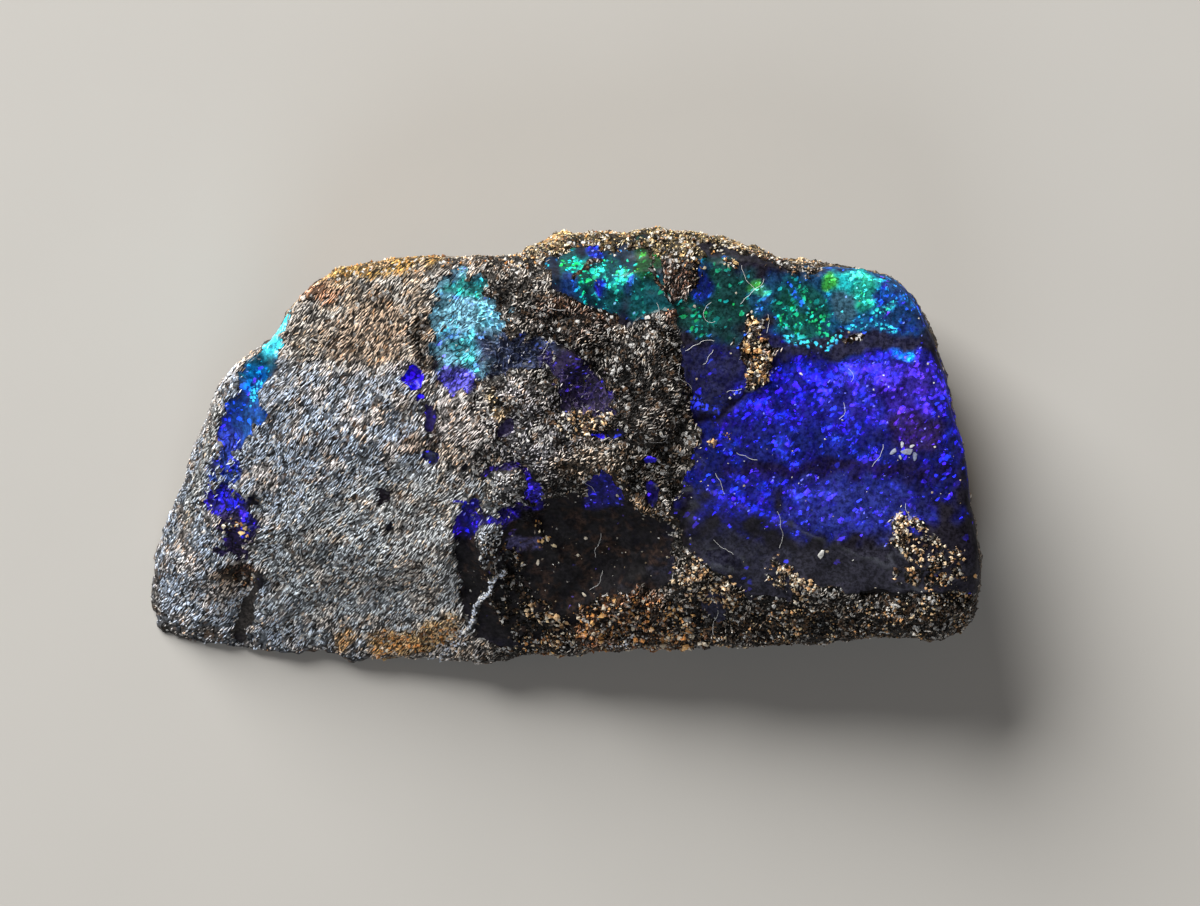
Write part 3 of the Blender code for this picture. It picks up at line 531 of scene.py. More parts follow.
# For the lobe and for the knobs: half lengths, half breadths, how far the heading strays in radians,
# and the light (the least, what a clump adds, and how suddenly).
LOBE_RIDGES = ((0.13, 0.27), (0.035, 0.053), 0.15, (2.90, 0.80, 1.0))
KNOB_RIDGES = ((0.07, 0.17), (0.034, 0.056), 0.45, (0.18, 3.3, 1.5))
RIDGE_HEIGHTS = (0.8, 1.3)
RIDGE_SINK = (-0.40, 0.30)
RIDGE_GAPS = 0.10
RIDGES_OFF_CRUST = 0.7
RIDGE_CLUMPS = ((0.9, 0.8, 80), (0.4, 0.7, 81))
RIDGE_CLUMP_BLEND = (-0.5, 0.5)
RIDGE_LIGHTS = (0.70, 1.40)
# Painted shade: how light the skin's top is kept under the ridges, darkened so that the gaps between them
# look shaded.
PAINTED_RIDGE_GROUND_SHADE = 0.12
# Pale crests on the knobs: their colour and the most of it.
KNOB_CRESTS = ((238, 232, 222), 0.9)
# A few warm ridges (above this share, tinted), and the lobe's dark ones (below this share, and how dark).
WARM_RIDGES = (0.92, (255, 232, 208))
DARK_RIDGES = (0.17, 0.14)
# Painted shade in furrows between the ridges, broad and fine, darkening the ridges' colour along lines: how
# drawn out, how far apart, how wide, how dark, and seed.
PAINTED_FURROW_SHADES = ((4.0, 1.3, 0.10, 0.30, 82), (3.4, 0.36, 0.17, 0.14, 83))

# Loose grains of the ironstone, slivers in the lobe and crumbs on the knobs.
LOBE_GRAINS = 5000
KNOB_GRAINS = 5200
LOBE_BREADTHS = (0.032, 0.065)
KNOB_BREADTHS = (0.030, 0.070)
# A sliver's lengths, width and height in its half breadths, and the spread of a crumb's three.
LOBE_SHAPES = ((1.6, 3.6), 0.95, 0.95)
KNOB_SHAPES = (0.7, 1.3)
SLIVER_STRAY = 0.16
GRAIN_SINK = (-0.45, 0.20)
SIDE_GRAINS = 0.2
GRAIN_LIFT = 2.1
LOBE_GRAIN_LIGHTS = (0.50, 1.60)
KNOB_GRAIN_LIGHTS = (0.50, 1.45)
# Shares of grains with a colour of their own: pale ones above this, dark ones below, warm ones between.
PALE_GRAINS = (0.92, (246, 236, 214), 0.5, 0.6)
LOBE_DARK_GRAINS = 0.08
KNOB_DARK_GRAINS = 0.16
DARK_GRAIN = (34, 34, 38)
WARM_GRAINS = (0.74, 0.82, (255, 228, 200))

# ---------------------------------------------------------------- chips and lint, in millimetres
CHIPS = 120
CHIP_SIZES = (0.03, 0.08)
CHIP_SHAPES = (0.5, 1.5)
CHIPS_OFF_GLASS = 0.35
CHIP_LIFT = 0.12
CHIP_LEAST_TILT = 0.2
# A large chip's length, width and height in its radius.
LARGE_CHIP_SHAPE = (1.2, 0.7, 0.8)
# Spot, radius and colour.
LARGE_CHIPS = [
    ((13.15, -5.25), 0.26, (244, 242, 236)),
    ((17.2, -0.2), 0.30, (150, 158, 184)),
    ((16.55, 0.05), 0.20, (170, 178, 200)),
    ((17.65, -0.55), 0.22, (132, 140, 170)),
    ((17.0, 0.25), 0.16, (190, 194, 206)),
    ((17.5, -0.05), 0.13, (206, 208, 214)),
    ((16.9, -0.45), 0.12, (176, 182, 200)),
    ((-0.8, -4.6), 0.20, (226, 214, 190)),
    ((-0.5, -5.0), 0.16, (214, 196, 160)),
    ((-1.05, -5.8), 0.16, (220, 208, 188)),
    ((0.9, -7.4), 0.16, (226, 216, 196)),
    ((20.65, -6.4), 0.20, (226, 170, 96)),
    ((7.6, 0.4), 0.22, (226, 178, 132)),
    ((11.9, 3.65), 0.10, (236, 232, 224)),
    ((3.5, 0.9), 0.14, (222, 214, 204)),
]
LINT_STEP = 0.16
LINT_RADIUS = 0.009
LINT_LIFT = 0.03
LINT_LEAST_TILT = 0.15
LINT_WOBBLE = 30.0
# Stray fibres: how many, where they start along X and Y, their lengths, and their bends.
STRAY_LINT = 11
STRAY_STARTS = ((-4.0, 18.5), (-8.0, 8.0))
STRAY_LENGTHS = (0.5, 1.6)
STRAY_BENDS = (-9.0, 9.0)
# Start, heading in degrees, length, and bend at each step in degrees.
LINT = [
    ((6.0, 4.85), 2, 1.5, 1.5),
    ((5.95, 4.35), -112, 1.5, 6.0),
    ((10.75, -3.0), -85, 1.9, -6.0),
    ((-1.1, 4.6), 40, 0.9, 4.0),
    ((4.65, 7.4), -60, 1.0, -5.0),
    ((17.15, -2.6), -75, 1.1, 3.0),
    ((1.9, -4.1), -70, 1.2, 4.0),
    ((9.0, 9.3), -95, 1.3, 2.0),
    ((10.15, 8.6), -110, 1.6, -3.0),
    ((14.4, 3.15), 70, 0.7, 3.0),
    ((8.15, 2.65), 60, 0.7, -4.0),
    ((8.65, -0.1), -60, 1.0, 3.0),
    ((6.9, 4.1), 25, 0.8, 8.0),
    ((7.65, -1.1), -80, 1.0, -2.0),
    ((13.7, 1.4), 15, 0.9, 4.0),
]

# ---------------------------------------------------------------- mineral speckle and painted ridge shade, sizes in millimetres
SPECK_SIZE = 0.17
SPECK_SHADES = (0.55, 1.35)
MOTTLE = (0.42, 3.0, 0.65)
MOTTLE_SHADES = (0.6, 1.3)
TOOTH_SIZE = 0.12
TOOTH_HEIGHT = 0.5
# Which specks stand out (where they begin and are in full), how strongly, and in what colour.
WHITE_SPECKS = ((0.90, 0.93), 0.75, (0.74, 0.73, 0.71, 1.0))
DARK_SPECKS = ((0.86, 0.90), 0.85, (0.018, 0.014, 0.012, 1.0))
RUST_SPECKS = ((0.10, 0.04), 0.30, (0.30, 0.17, 0.09, 1.0))
# Fine ridges in the skin, long in the lobe and round elsewhere: how broad, how drawn out, how wide their
# crests and grooves are, how dark the grooves and how light the crests are painted (painted shade and painted
# light), how strong in the relief, and how they sway (size, reach).
STREAK_BREADTH = 0.36
WORM_BREADTH = 0.40
STREAK_STRETCH = 2.1
RIDGE_WIDTH = 0.10
GROOVE_WIDTH = 0.075
STREAK_PAINTED_SHADES = (0.20, 1.80)
STREAK_RELIEF = 2.2
STREAK_SWAY = (2.2, 0.8)

# ---------------------------------------------------------------- play of colour, sizes in millimetres
# Flakes of light in two sizes: size, brightness, share.
FLAKES = ((0.24, 0.85, 0.36), (0.13, 1.35, 0.42))
FLAKE_SWAY = (0.45, 0.30)
FLAKE_SLANT = math.radians(38.0)
FLAKE_STRETCH = 1.7
FLAKE_CHIPPING = (0.11, 0.9)
FLAKE_EDGE = (0.75, 0.55)
FLAKE_LIGHTS = (0.2, 1.0)
# Broad clouds of more and less fire: size, detail, roughness, and how dim and bright.
CLOUDS = (1.5, 4.0, 0.6)
CLOUD_EDGE = (0.34, 0.66)
CLOUD_LIGHTS = (0.30, 1.35)
# Ragged patches of haze, larger where the fire is above the middle, and broken into plates.
PATCHES_OF_HAZE = (0.48, 3.0, 0.72)
HAZE_EDGE = (0.50, 0.60)
MIDDLE_FIRE = 0.6
FIRE_PUSH = 0.20
PLATE_SIZE = 0.36
PLATE_LIGHTS = (0.15, 1.0)
GLOW = 0.10
PATCH_GLOW = 0.40
# The chance of a flake: in a patch, and anywhere.
PATCH_CHANCE = 0.7
LEAST_CHANCE = 0.25
# Curtains of light in the glass: their direction, how drawn out, size with detail and roughness, and shades.
CURTAIN_SLANT = math.radians(62.0)
CURTAIN_STRETCH = 3.0
CURTAINS = (0.26, 3.0, 0.7)
CURTAIN_EDGE = (0.38, 0.62)
CURTAIN_SHADES = (0.35, 1.75)
GAP_BREADTH = 0.30
GAP_EDGE = (0.36, 0.52)
GAP_SHADES = (0.40, 1.1)
GLINT_SIZE = 0.09
GLINT_SHARE = 0.011
GLINT_EDGE = (0.70, 0.40)
GLINT_COLOUR = (0.26, 0.30, 0.80, 1.0)
GLINT_TINT = 0.45
# Between these two the green in a flame tells blue fire from green, which has less haze and more flakes.
GREEN_FROM = (0.08, 0.40)
GREEN_HAZE = 0.38
GREEN_FLAKES = 1.5
# How far the hue of flakes strays, for blue ones and for green ones, its drift, and which way it leans.
HUE_STRAY = (0.014, 0.20)
HUE_DRIFT = (0.7, 0.3, 0.7)
HUE_LEAN = 0.38

# ---------------------------------------------------------------- the stone's surface, sizes in millimetres
IRON_ROUGHNESS = 0.46
SKIN_SPECULAR = 0.22
GLASS_IOR = 1.45
# The frayed edge between glass and ironstone: size, reach, and how sharp it is.
EDGE_FRAY = (0.28, 0.22)
EDGE_SHARPNESS = (0.40, 0.60)
# Dots of the bright rows: size, edge, and which of them are lit.
ROW_DOT_SIZE = 0.20
ROW_DOT_EDGE = (0.55, 0.35)
ROW_DOTS_LIT = (0.35, 0.6)
# Depth of the glass and its fine grain: size with detail and roughness, where it begins and ends, and shades.
BODY_DEPTH = ((0.55, 4.0, 0.65), (0.25, 0.75), (0.45, 1.35))
BODY_GRAIN = ((0.19, 2.0, 0.7), (0.36, 0.64), (0.50, 1.60))
# The play of colour is laid into the base colour by this share, and glows as emission at this strength:
# painted light, as the glass is no lamp.
FLAKE_IN_COLOUR = 0.65
GLOW_STRENGTH = 0.75
# Scuffs of the glass, from polished to scuffed, and how much duller it is where it isn't level.
SCUFFS = ((0.9, 4.0, 0.7), (0.45, 0.75), (0.17, 0.42))
SLOPE_DULLNESS = 0.55
GLASS_WAVE = (0.35, 0.35)
FILM_SMOOTHNESS = 0.25
SKIN_BUMP = (0.9, 0.05)
GRAIN_BUMP = (0.5, 0.02)
# Contrast of the speckle, strength of the painted ridge shade, and roughness of each kind of grain.
GRIT_LOOK = (0.4, 0.6, 0.6)
SLIVER_LOOK = (0.3, 0.8, 0.45)
RIDGE_LOOK = (0.3, 0.0, 0.36)
SAND_LOOK = (0.35, 0.1, 0.26)
CHIP_LOOK = (0.2, 0.1, 0.3)
LINT_DIM = (0.72, 0.72, 0.72, 1.0)
LINT_PALE = (0.96, 0.96, 0.96, 1.0)
LINT_ROUGHNESS = 0.45

# ---------------------------------------------------------------- studio, in metres and watts
FLOOR_SIZE = 1.6
FLOOR_DROP = 0.02
FLOOR_DARK = (0.490, 0.476, 0.448, 1.0)
FLOOR_LIGHT = (0.520, 0.505, 0.476, 1.0)
FLOOR_DRIFT = 14.0
FLOOR_ROUGHNESS = 0.85
LIGHT_FROM = (-0.463, 0.730, 0.503)
LIGHT_DISTANCE = 0.8
LIGHT_SIZE = 0.60
LIGHT_POWER = 13.6
LIGHT_COLOUR = (1.0, 0.99, 0.97)
FILL_FROM = (-0.20, -0.79, 0.574)
FILL_DISTANCE = 1.2
FILL_SIZE = 0.7
FILL_POWER = 3.8
FILL_COLOUR = (0.84, 0.92, 1.0)
ROOM_COLOUR = (1.0, 0.82, 0.68, 1.0)
ROOM_STRENGTH = 0.092
SENSOR = 36.0


# ================================================================ tools for fields on the skin
def plan_of(points):
    """Where points show on the plan, from the eye above."""
    stretch = (EYE[2] - PLAN_HEIGHT) / (EYE[2] - points[:, 2])
    across = EYE[0] + (points[:, 0] - EYE[0]) * stretch
    away = EYE[1] + (points[:, 1] - EYE[1]) * stretch
    return np.stack([across, away], axis=1)


def waves(points, length, seed):
    """Smooth noise of one wave length, about -1 to 1, at rows of two or three coordinates."""
    shift = Vector([seed * part for part in NOISE_SHIFT])
    scaled = points / length
    if points.shape[1] < 3:
        scaled = np.column_stack([scaled, np.zeros(len(points))])
    return np.array([noise.noise(Vector(place) + shift) for place in scaled.tolist()]) * NOISE_GAIN


def layered(points, layers, start=0.0):
    """Waves laid over each other, each with its wave length, reach and seed."""
    total = np.full(len(points), start)
    for length, reach, seed in layers:
        total += waves(points, length, seed) * reach
    return total


def cobbles(points, length, seed):
    """Rounded cells of one size: 1 at a cell's middle, 0 at the joints between cells."""
    shift = Vector([seed * part for part in CELL_SHIFT])
    heights = []
    for place in (points / length).tolist():
        near = noise.voronoi(Vector(place) + shift)[0]
        heights.append(near[1] - near[0])
    return np.clip(np.array(heights) * CELL_GAIN, 0.0, 1.0)


def between(pair, share):
    """The value a share of the way from the first of a pair to the second."""
    return pair[0] + (pair[1] - pair[0]) * share


def smooth(values, low, high):
    """0 below low, 1 above high, and an easy curve between."""
    part = np.clip((values - low) / (high - low), 0.0, 1.0)
    return part * part * (3.0 - 2.0 * part)


def line_distance(plan, points, closed=False):
    """Distance from each plan point to a line through points."""
    corners = np.array(points)
    ends = np.roll(corners, -1, axis=0)
    spans = len(corners) if closed else len(corners) - 1
    nearest = np.full(len(plan), FAR)
    for start, end in zip(corners[:spans], ends[:spans]):
        along = end - start
        part = np.clip(((plan - start) @ along) / (along @ along), 0.0, 1.0)
        gap = plan - start - part[:, None] * along
        nearest = np.minimum(nearest, np.hypot(gap[:, 0], gap[:, 1]))
    return nearest


def outline_depth(plan, outline):
    """How far each plan point lies inside an outline; below 0 outside it."""
    corners = np.array(outline)
    inside = np.zeros(len(plan), dtype=bool)
    for start, end in zip(corners, np.roll(corners, -1, axis=0)):
        rise = end[1] - start[1]
        if abs(rise) < 1e-9:
            continue
        spans = (start[1] > plan[:, 1]) != (end[1] > plan[:, 1])
        crossing = start[0] + (plan[:, 1] - start[1]) * (end[0] - start[0]) / rise
        inside ^= spans & (plan[:, 0] < crossing)
    edge = line_distance(plan, outline, closed=True)
    return np.where(inside, edge, -edge)


def along_grain(places):
    """Places on the plan, measured along and across the grain of the stone."""
    turn = np.array([math.cos(GRAIN_DIRECTION), math.sin(GRAIN_DIRECTION)])
    return np.column_stack([places[:, :2] @ turn, places[:, :2] @ np.array([-turn[1], turn[0]])])


def spot_radius(plan, centre, radii, turn):
    """Distance from a spot's centre in radii of the spot."""
    angle = math.radians(turn)
    offset = plan - np.array(centre)
    along = offset[:, 0] * math.cos(angle) + offset[:, 1] * math.sin(angle)
    across = offset[:, 1] * math.cos(angle) - offset[:, 0] * math.sin(angle)
    return np.hypot(along / radii[0], across / radii[1])


def linear(colour):
    """A screen colour of 0 to 255 as linear light."""
    part = np.asarray(colour, dtype=float) / 255.0
    return np.where(part <= 0.04045, part / 12.92, ((part + 0.055) / 1.055) ** 2.4)


def held(colours, most):
    """Colours with no channel above a limit, each dimmed as a whole so that its hue stays."""
    return colours * most / np.maximum(colours.max(axis=1, keepdims=True), most)


def mixed(below, above, amount):
    """Rows of below with above laid over them."""
    return below + (np.asarray(above) - below) * amount[:, None]


# ================================================================ tools for objects
def deselect_all():
    bpy.ops.object.select_all(action="DESELECT")


def use(piece):
    """Select one object alone and make it active."""
    deselect_all()
    piece.select_set(True)
    bpy.context.view_layer.objects.active = piece


def apply_modifier(piece, name):
    use(piece)
    bpy.ops.object.modifier_apply(modifier=name)


def positions(mesh):
    """A mesh's points in millimetres."""
    flat = np.empty(len(mesh.vertices) * 3)
    mesh.vertices.foreach_get("co", flat)
    return flat.reshape(-1, 3) / MM


def move_points(mesh, points):
    mesh.vertices.foreach_set("co", (points * MM).ravel())
    mesh.update()


def normals(mesh):
    flat = np.empty(len(mesh.vertices) * 3)
    mesh.vertex_normals.foreach_get("vector", flat)
    return flat.reshape(-1, 3)


def add_field(mesh, name, values, domain="POINT"):
    """Keep a number for each point or face, as an attribute."""
    field = mesh.attributes.new(name, "FLOAT", domain)
    field.data.foreach_set("value", np.asarray(values, dtype=np.float32))


def add_colours(mesh, name, colours, domain="POINT"):
    """Keep a linear colour for each point or face."""
    field = mesh.attributes.new(name, "FLOAT_COLOR", domain)
    rows = np.column_stack([np.clip(colours, 0.0, 1.0), np.ones(len(colours))])
    field.data.foreach_set("color", rows.astype(np.float32).ravel())


# ================================================================ the stone's skin
def make_skin():
    """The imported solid's copy, with an even mesh that is finer on the top."""
    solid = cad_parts["boulder_opal"]
    skin = bpy.data.objects.new("opal_stone", solid.data.copy())
    bpy.context.scene.collection.objects.link(skin)
    use(skin)
    bpy.ops.object.mode_set(mode="EDIT")
    bpy.ops.mesh.select_all(action="SELECT")
    bpy.ops.mesh.remove_doubles(threshold=0.00001)
    bpy.ops.object.mode_set(mode="OBJECT")
    remesh = skin.modifiers.new("even cells", "REMESH")
    remesh.mode = "VOXEL"
    remesh.voxel_size = SKIN_CELL * MM
    apply_modifier(skin, remesh.name)
    settle = skin.modifiers.new("settle", "SMOOTH")
    settle.factor = 0.5
    settle.iterations = SMOOTHING_ROUNDS
    apply_modifier(skin, settle.name)
    subdivide_top(skin)
    return skin


def subdivide_top(skin):
    """Halve the cells of the faces that look up."""
    mesh = skin.data
    facing = np.empty(len(mesh.polygons) * 3)
    mesh.polygons.foreach_get("normal", facing)
    upward = facing.reshape(-1, 3)[:, 2] > TOP_FACE_TILT
    mesh.polygons.foreach_set("select", upward)
    mesh.edges.foreach_set("select", np.zeros(len(mesh.edges), dtype=bool))
    mesh.vertices.foreach_set("select", np.zeros(len(mesh.vertices), dtype=bool))
    use(skin)
    bpy.ops.object.mode_set(mode="EDIT")
    bpy.ops.mesh.select_mode(type="FACE")
    bpy.ops.mesh.subdivide(number_cuts=1, smoothness=0.0)
    bpy.ops.mesh.select_all(action="SELECT")
    bpy.ops.mesh.quads_convert_to_tris(quad_method="SHORTEST_DIAGONAL")
    bpy.ops.object.mode_set(mode="OBJECT")


def drawn_plan(points):
    """The plan of points, with its lines made to wander as real edges do."""
    plan = plan_of(points)
    for length, reach, seed in WANDERS:
        plan[:, 0] += waves(points, length, seed) * reach
        plan[:, 1] += waves(points, length, seed + 1) * reach
    return plan


class Zones:
    """What each point of the skin is: glass or ironstone, top or side, on a line or off it."""

    def __init__(self, points, facing):
        self.points = points
        self.plan = drawn_plan(points)
        self.top = smooth(facing[:, 2], *TOP_TILTS)
        self.level = smooth(facing[:, 2], *LEVEL_TILTS)
        self.under = smooth(-facing[:, 2], *UNDER_TILTS)
        top_glass = smooth(self.depth_of_glass(), -EDGE_BLEND, EDGE_BLEND)
        self.glass = top_glass * self.top + self.wall_glass(top_glass) * (1.0 - self.top)
        self.crust = self.crusted()
        self.glass *= 1.0 - self.crust
        past_end = LOBE_END - points[:, 0] + layered(points, LOBE_WANDER)
        self.lobe = smooth(past_end, -LOBE_BLEND, LOBE_BLEND) * self.top
        self.line_depth = {}
        for name, (line, half_width, _, _) in LINES.items():
            depth = half_width - line_distance(self.plan, line)
            self.line_depth[name] = smooth(depth, *LINE_BLEND) * self.top

    def depth_of_glass(self):
        """How far each point lies inside the glass. The films are found on the way."""
        plan = self.plan
        depth = np.full(len(plan), -FAR)
        for outline in GLASS_OUTLINES.values():
            depth = np.maximum(depth, outline_depth(plan, outline))
        tatter = layered(self.points, TATTERS)
        for outline in IRON_OUTLINES.values():
            depth = np.minimum(depth, -outline_depth(plan, outline) + tatter)
        self.film = np.zeros(len(plan))
        for spot in FILMS:
            self.film = np.maximum(self.film, smooth(FILM_REACH - spot_radius(plan, *spot), *FILM_BLEND))
        for length, reach, seed in RAGS:
            depth += waves(self.points, length, seed) * reach * (1.0 + self.film * FILM_RAGS)
        for centre, radii, turn in GLASS_SPOTS.values():
            depth = np.maximum(depth, (1.0 - spot_radius(plan, centre, radii, turn)) * min(radii))
        for line, half_width in GLASS_STROKES.values():
            depth = np.maximum(depth, half_width - line_distance(plan, line))
        return depth

    def crusted(self):
        """Where sand has grown on the skin: it is rough there too."""
        crust = np.zeros(len(self.plan))
        broken = layered(self.points, CRUST_BREAKS, CRUST_MIDDLE)
        for line, half_width, _, _, kind in SAND.values():
            if kind not in UNCRUSTED:
                near = smooth(half_width * CRUST_REACH - line_distance(self.plan, line), *CRUST_BLEND)
                crust = np.maximum(crust, near * smooth(broken, *CRUST_COVER))
        return crust

    def wall_glass(self, top_glass):
        """On the walls the opal shows only as the edge of its layer, under the rim."""
        x, y, z = self.points.T
        high = smooth(z, WALL_GLASS_FROM - WALL_GLASS_BLEND, WALL_GLASS_FROM + WALL_GLASS_BLEND)
        right = smooth(x, *WALL_GLASS_RIGHT) * high
        left = smooth(-x, *WALL_GLASS_LEFT) * smooth(y, *WALL_GLASS_LEFT_BACK)
        left *= smooth(z, *WALL_GLASS_LEFT_FROM)
        front = smooth(-y, *WALL_GLASS_FRONT)
        return top_glass * np.maximum(right, left) * (1.0 - front)


def carve(skin, zones, facing):
    """Give each zone its relief."""
    points = zones.points
    slanted = along_grain(points)
    streaked = np.column_stack([slanted[:, 0] / GRAIN_STRETCH, slanted[:, 1], points[:, 2]])
    grained = smooth(-points[:, 0], *GRAINED_FROM)[:, None]
    stone_grid = points * (1.0 - grained) + streaked * grained
    cobble = cobbles(stone_grid, COBBLE_WIDTH, COBBLE_SEED)
    calm = 1.0 - (1.0 - LOBE_CALM) * zones.lobe
    zones.crevice = smooth(cobble, *CREVICES) * calm
    mounds = np.zeros(len(points))
    for length, height, seed in LUMPS:
        mounds += waves(stone_grid, length, seed) * height * (calm if length < BROAD_LUMP else 1.0)
    zones.mounds = smooth(mounds, *MOUNDS)
    iron = IRON_STANDS + (cobble - 0.5) * COBBLE_HEIGHT * calm + mounds
    glass = layered(points, GLASS_WAVES)
    broken = smooth(BROKEN_REACH - spot_radius(zones.plan, *BROKEN_GLASS), *BROKEN_BLEND)
    for length, height, seed in SCALLOPS:
        ridge = SCALLOP_RIM - np.abs(waves(points, length, seed))
        glass += ridge * height * between((SCALLOPS_ELSEWHERE, 1.0), broken)
    height = iron * (1.0 - zones.glass) + glass * zones.glass
    for name, (_, _, _, cut) in LINES.items():
        height -= zones.line_depth[name] * cut
    height *= 1.0 - zones.under * UNDER_CALM
    moved = points + facing * height[:, None]
    low = moved[:, 2] < BASE_REACH
    lift = np.where(zones.under > 0.5, np.abs(height) * UNDER_LIFT, 0.0)
    moved[:, 2] = np.where(low, np.maximum(moved[:, 2], lift), moved[:, 2])
    moved[:, 2] = np.maximum(moved[:, 2], 0.0)
    over = np.maximum(moved[:, 2] - CROWN, 0.0)
    moved[:, 2] -= over * (1.0 - CROWN_SHARE)
    move_points(skin.data, moved)


def wash_amount(zones, wash):
    """How strongly a wash covers each point: in full in its middle, and gone past its ragged rim."""
    centre, radii, turn = wash[:3]
    return smooth(zones.ragged - spot_radius(zones.plan, centre, radii, turn), *WASH_BLEND)


def paint(skin, zones):
    """Lay the washes and lines of colour, and keep them on the skin."""
    points = zones.points
    count = len(points)
    zones.ragged = layered(points, WASH_RAGS, 1.0)
    tone = ironstone_tone(zones)
    body = np.tile(linear(POTCH), (count, 1))
    flame = np.tile(linear(DIM_FLAME), (count, 1))
    fire = np.full(count, DIM_FIRE)
    for wash in OPAL_WASHES.values():
        amount = wash_amount(zones, wash)
        body = mixed(body, linear(wash[3]), amount)
        flame = mixed(flame, linear(wash[4]), amount)
        fire += (wash[5] - fire) * amount
    broken = smooth(1.0 - spot_radius(zones.plan, *BROKEN_GLASS), *BROKEN_TINT_BLEND)
    brown = smooth(layered(points, BROWN_WAVES), *BROWN_BLEND)
    body = mixed(body, linear(HOLLOW_BROWN), broken * brown * BROWN_STRENGTH)
    rows = np.zeros(count)
    for line, half_width, colour in BRIGHT_ROWS.values():
        amount = smooth(half_width - line_distance(zones.plan, line), *ROW_BLEND)
        flame = mixed(flame, linear(colour), amount)
        rows = np.maximum(rows, amount)
    glass = zones.glass.copy()
    for name, (_, _, colour, cut) in LINES.items():
        amount = zones.line_depth[name] * (CUT_STRENGTH if cut > 0 else RIDGE_STRENGTH)
        tone = mixed(tone, linear(colour), amount ** LINE_FADE)
        if cut < 0:
            glass *= 1.0 - amount
        else:
            body = mixed(body, linear(colour), amount)
            fire *= 1.0 - amount
    polish = zones.level * (1.0 - broken * BROKEN_DULLNESS)
    fields = {"glass": glass, "fire": fire, "rows": rows, "polish": polish, "lobe": zones.lobe}
    fields["film"] = zones.film
    for name, values in fields.items():
        add_field(skin.data, name, values)
    # Painted shade: the skin's top is darkened under the ridges, so the gaps between them look shaded.
    gaps = between((PAINTED_RIDGE_GROUND_SHADE, 1.0), 1.0 - zones.top)
    for name, colours in {"tone": tone * gaps[:, None], "body": body, "spark": flame}.items():
        add_colours(skin.data, name, colours)
    veiled = np.clip(body * FILM_LIFT, 0.0, 1.0)
    return mixed(tone, veiled, zones.film * zones.glass)


def ironstone_tone(zones):
    """The colour of the ironstone, with its patches and tan drifts, darkened in its mound valleys and
    crevices as painted shade, and lightened on its mound tops as painted light.
    """
    points = zones.points
    tone = np.tile(linear(IRON), (len(points), 1))
    for wash in IRON_WASHES.values():
        tone = mixed(tone, linear(wash[3]), wash_amount(zones, wash))
    side = wall_tone(points)
    tone = side + (tone - side) * zones.top[:, None]
    crusted = zones.crust * CRUST_TINT * smooth(-points[:, 1], *CRUST_TINT_FROM)
    tone = mixed(tone, linear(CRUST_SKIN), crusted)
    patchy = between(PATCHES, smooth(layered(points, PATCH_WAVES), *PATCH_BLEND))
    tone = tone * (patchy + (1.0 - patchy) * zones.lobe * LOBE_EVENNESS)[:, None]
    shade = between(MOUND_PAINTED_SHADES, zones.mounds)
    tone = tone * (shade + (1.0 - shade) * zones.lobe)[:, None]
    tan = smooth(layered(points, TAN_WAVES), *TAN_BLEND) * zones.lobe
    tone = mixed(tone, linear(TAN_DRIFT), tan * TAN_STRENGTH)
    return tone * (1.0 - zones.crevice * CREVICE_SHADE)[:, None]


def wall_tone(points):
    """The sides and the underside: brown, a tan crust high on the back, dark in front, pale at the left."""
    x, y, z = points.T
    tone = np.tile(linear(IRON_SIDE), (len(points), 1))
    drift = layered(points, WALL_WAVES)
    for way, (colour, blend_in, strength) in ((drift, WALL_TAN), (-drift, WALL_DARK)):
        tone = mixed(tone, linear(colour), smooth(way, *blend_in) * strength)
    washes = ((y, z + drift * BACK_CRUST_WANDER, BACK_CRUST), (-y, x, FRONT_SKIN), (-x, z, LEFT_END))
    for first, second, (colour, first_blend, second_blend, strength) in washes:
        amount = smooth(first, *first_blend) * smooth(second, *second_blend)
        tone = mixed(tone, linear(colour), amount * strength)
    return tone


# ================================================================ loose and crusted grains
class Ground:
    """The finished skin's triangles, to strew things on."""

    def __init__(self, skin, zones, tone):
        mesh = skin.data
        mesh.calc_loop_triangles()
        corners = np.empty(len(mesh.loop_triangles) * 3, dtype=np.int32)
        mesh.loop_triangles.foreach_get("vertices", corners)
        self.corners = corners.reshape(-1, 3)
        self.points = positions(mesh)
        spans = self.points[self.corners]
        cross = np.cross(spans[:, 1] - spans[:, 0], spans[:, 2] - spans[:, 0])
        double = np.linalg.norm(cross, axis=1)
        self.area = double / 2.0
        self.facing = cross / np.maximum(double, 1e-9)[:, None]
        self.zones = zones
        self.tone = tone
        self.plan = zones.plan[self.corners].mean(axis=1)

    def over_faces(self, values):
        return values[self.corners].mean(axis=1)

    def places(self, weights, count, draw):
        """Random places on the skin, as often as their weights and areas say."""
        chance = self.area * weights
        faces = draw.choice(len(chance), size=count, p=chance / chance.sum())
        first, second = draw.random(count), draw.random(count)
        folded = first + second > 1.0
        first[folded] = 1.0 - first[folded]
        second[folded] = 1.0 - second[folded]
        start, right, left = self.points[self.corners[faces]].transpose(1, 0, 2)
        return faces, start + (right - start) * first[:, None] + (left - start) * second[:, None]


